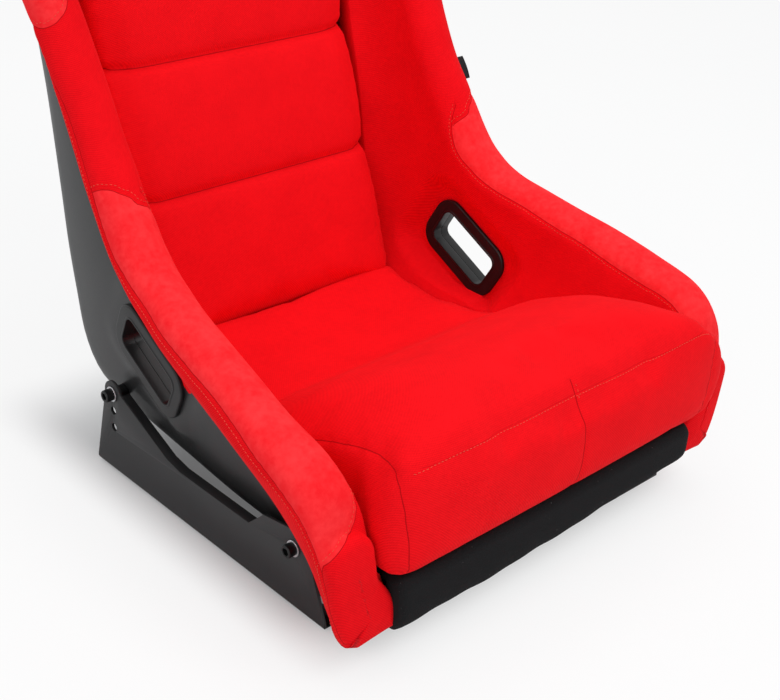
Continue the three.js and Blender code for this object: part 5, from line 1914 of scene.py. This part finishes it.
@dataclass
class Studio:
    """Floor, light and camera."""

    form: BucketForm
    eye: tuple[float, float, float] = (-862.55, -910.71, 812.96)
    azimuth: float = -44.41
    elevation: float = 28.4
    roll: float = 2.94
    focal: float = 1376.37
    width: int = 780
    reach: float = 6.0

    def camera(self) -> None:
        """Sets the camera up."""
        a, e, r = (math.radians(v) for v in (self.azimuth, self.elevation, self.roll))
        back = Vector((math.sin(a) * math.cos(e), -math.cos(a) * math.cos(e), math.sin(e)))
        right = Vector((math.cos(a), math.sin(a), 0))
        up = right.cross(-back)
        tilted = right * math.cos(r) + up * math.sin(r)
        upright = up * math.cos(r) - right * math.sin(r)
        data = bpy.data.cameras.new("camera")
        data.sensor_width = 36.0
        data.lens = self.focal * data.sensor_width / self.width
        obj = linked("camera", data)
        turn = Matrix((tilted, upright, back)).transposed().to_4x4()
        obj.matrix_world = Matrix.Translation(self.form.frame_point(*self.eye)) @ turn
        bpy.context.scene.camera = obj

    def lamp(
        self, name: str, at: tuple[float, float, float], target: Vector, size: float, power: float
    ) -> None:
        """Adds a soft lamp that faces a target."""
        data = bpy.data.lights.new(name, "AREA")
        data.shape, data.size, data.energy = "DISK", size, power
        obj = linked(name, data)
        obj.location = Vector(at)
        obj.rotation_euler = (Vector(at) - target).to_track_quat("Z", "Y").to_euler()

    def floor(self) -> None:
        """Lays the floor: white where the camera looks at it, with the seat's shadow kept; under the seat the
        white glow is lowered by a fixed mask, a painted shade that lets the shadow there show darker.
        """
        corners = ((-1, -1), (1, -1), (1, 1), (-1, 1))
        points = np.array([(x * self.reach, y * self.reach, -1.0 * MM) for x, y in corners])
        obj = new_object("floor", points, [(0, 1, 2, 3)])
        paint = Paint("floor_paper", 0.9)
        tone = paint.noise(3.0, 2.0)
        paint.feed("Base Color", paint.blend(tone, (0.80, 0.80, 0.80), (0.84, 0.84, 0.84)))
        paint.shader.inputs["Specular IOR Level"].default_value = 0.1
        glow = paint.node("ShaderNodeEmission", inputs={"Color": (1, 1, 1, 1), "Strength": 1.0})
        seen = paint.wire(paint.node("ShaderNodeLightPath"), "Is Camera Ray")
        x, y, _ = paint.axes()
        # under: a fixed mask on the floor's own place that lowers the white glow beneath the seat, a painted
        # shade; the darkness there comes from the real shadow on the diffuse floor.
        under = (1 - paint.ramp(abs(x), 0.20, 0.28)) * (1 - paint.ramp(abs(y), 0.18, 0.34))
        share = seen * (0.84 - under * 0.74)
        sides = {0: share, 1: paint.shader.outputs[0], 2: glow.outputs[0]}
        mix = paint.node("ShaderNodeMixShader", inputs=sides)
        out = next(n for n in paint.tree.nodes if n.type == "OUTPUT_MATERIAL")
        paint.tree.links.new(mix.outputs[0], out.inputs[0])
        obj.data.materials.append(paint.material)

    def world(self) -> None:
        """Sets an even soft light, and white behind the seat."""
        world = bpy.data.worlds.new("studio")
        world.use_nodes = True
        bpy.context.scene.world = world
        tree = world.node_tree
        tree.nodes.clear()
        path, out = tree.nodes.new("ShaderNodeLightPath"), tree.nodes.new("ShaderNodeOutputWorld")
        add, more = tree.nodes.new("ShaderNodeMath"), tree.nodes.new("ShaderNodeMath")
        add.operation = more.operation = "MAXIMUM"
        soft, white = tree.nodes.new("ShaderNodeBackground"), tree.nodes.new("ShaderNodeBackground")
        mix = tree.nodes.new("ShaderNodeMixShader")
        soft.inputs[0].default_value = (0.96, 0.98, 1.0, 1.0)
        soft.inputs[1].default_value = 0.55
        white.inputs[0].default_value = (1, 1, 1, 1)
        white.inputs[1].default_value = 1.0
        tree.links.new(path.outputs["Is Camera Ray"], add.inputs[0])
        tree.links.new(path.outputs["Is Glossy Ray"], add.inputs[1])
        tree.links.new(add.outputs[0], more.inputs[0])
        tree.links.new(path.outputs["Is Transmission Ray"], more.inputs[1])
        tree.links.new(more.outputs[0], mix.inputs[0])
        tree.links.new(soft.outputs[0], mix.inputs[1])
        tree.links.new(white.outputs[0], mix.inputs[2])
        tree.links.new(mix.outputs[0], out.inputs[0])

    def build(self) -> None:
        """Makes the studio."""
        scene = bpy.context.scene
        scene.view_settings.view_transform = "Standard"
        target = Vector((0.0, 0.0, 0.35))
        self.camera()
        self.floor()
        self.world()
        self.lamp("key", (0.2, -1.9, 2.8), target, 1.6, 38.0)
        self.lamp("fill", (-2.4, -0.8, 1.6), target, 1.8, 12.0)
        self.lamp("top", (0.2, 0.4, 2.8), target, 1.8, 22.0)


# ------------------------------------------------------------------ the seat


def dress_remaining() -> None:
    """Gives the hook tape solids, which stay in view, their finish."""
    for name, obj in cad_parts.items():
        if "hook_tape" in name:
            obj.data.materials.clear()
            obj.data.materials.append(Finish.HOOK.get())


def main() -> None:
    """Builds the seat and sets it in the studio."""
    logging.basicConfig(level=logging.INFO, format="%(message)s")
    form = BucketForm()
    Studio(form).build()
    slots = BeltSlots(form)
    BucketShell(form, slots).build()
    Lining(form, "seat_lining", 2.0, 9.0).build()
    Lining(form, "back_lining", 9.02, 21.6, slots).build()
    BolsterCover(form, slots).build()
    slots.build()
    SeatCushion(form, "seat_cushion", Body.SEAT, "seat_cushion_cover").build()
    BackCushion(form, "back_cushion", Body.BACK, "back_cushion_cover", fill=0.8).build()
    Upholstery(form, "head_pad", Body.HEAD, "head_pad_cover", voxel=4.0, cap=6.0).build()
    HeadSurround(form, "head_surround", Body.BUCKET, "head_surround_cover", cap=3.0, soften=6).build()
    LipCover(form).build()
    SideTag().build()
    for side in Side:
        SteelBracket(side).build()
        for place in ("front", "rear"):
            BoltSet(form, place, side).build()
    dress_remaining()
    bpy.context.view_layer.update()


if __name__ == "__main__":
    main()
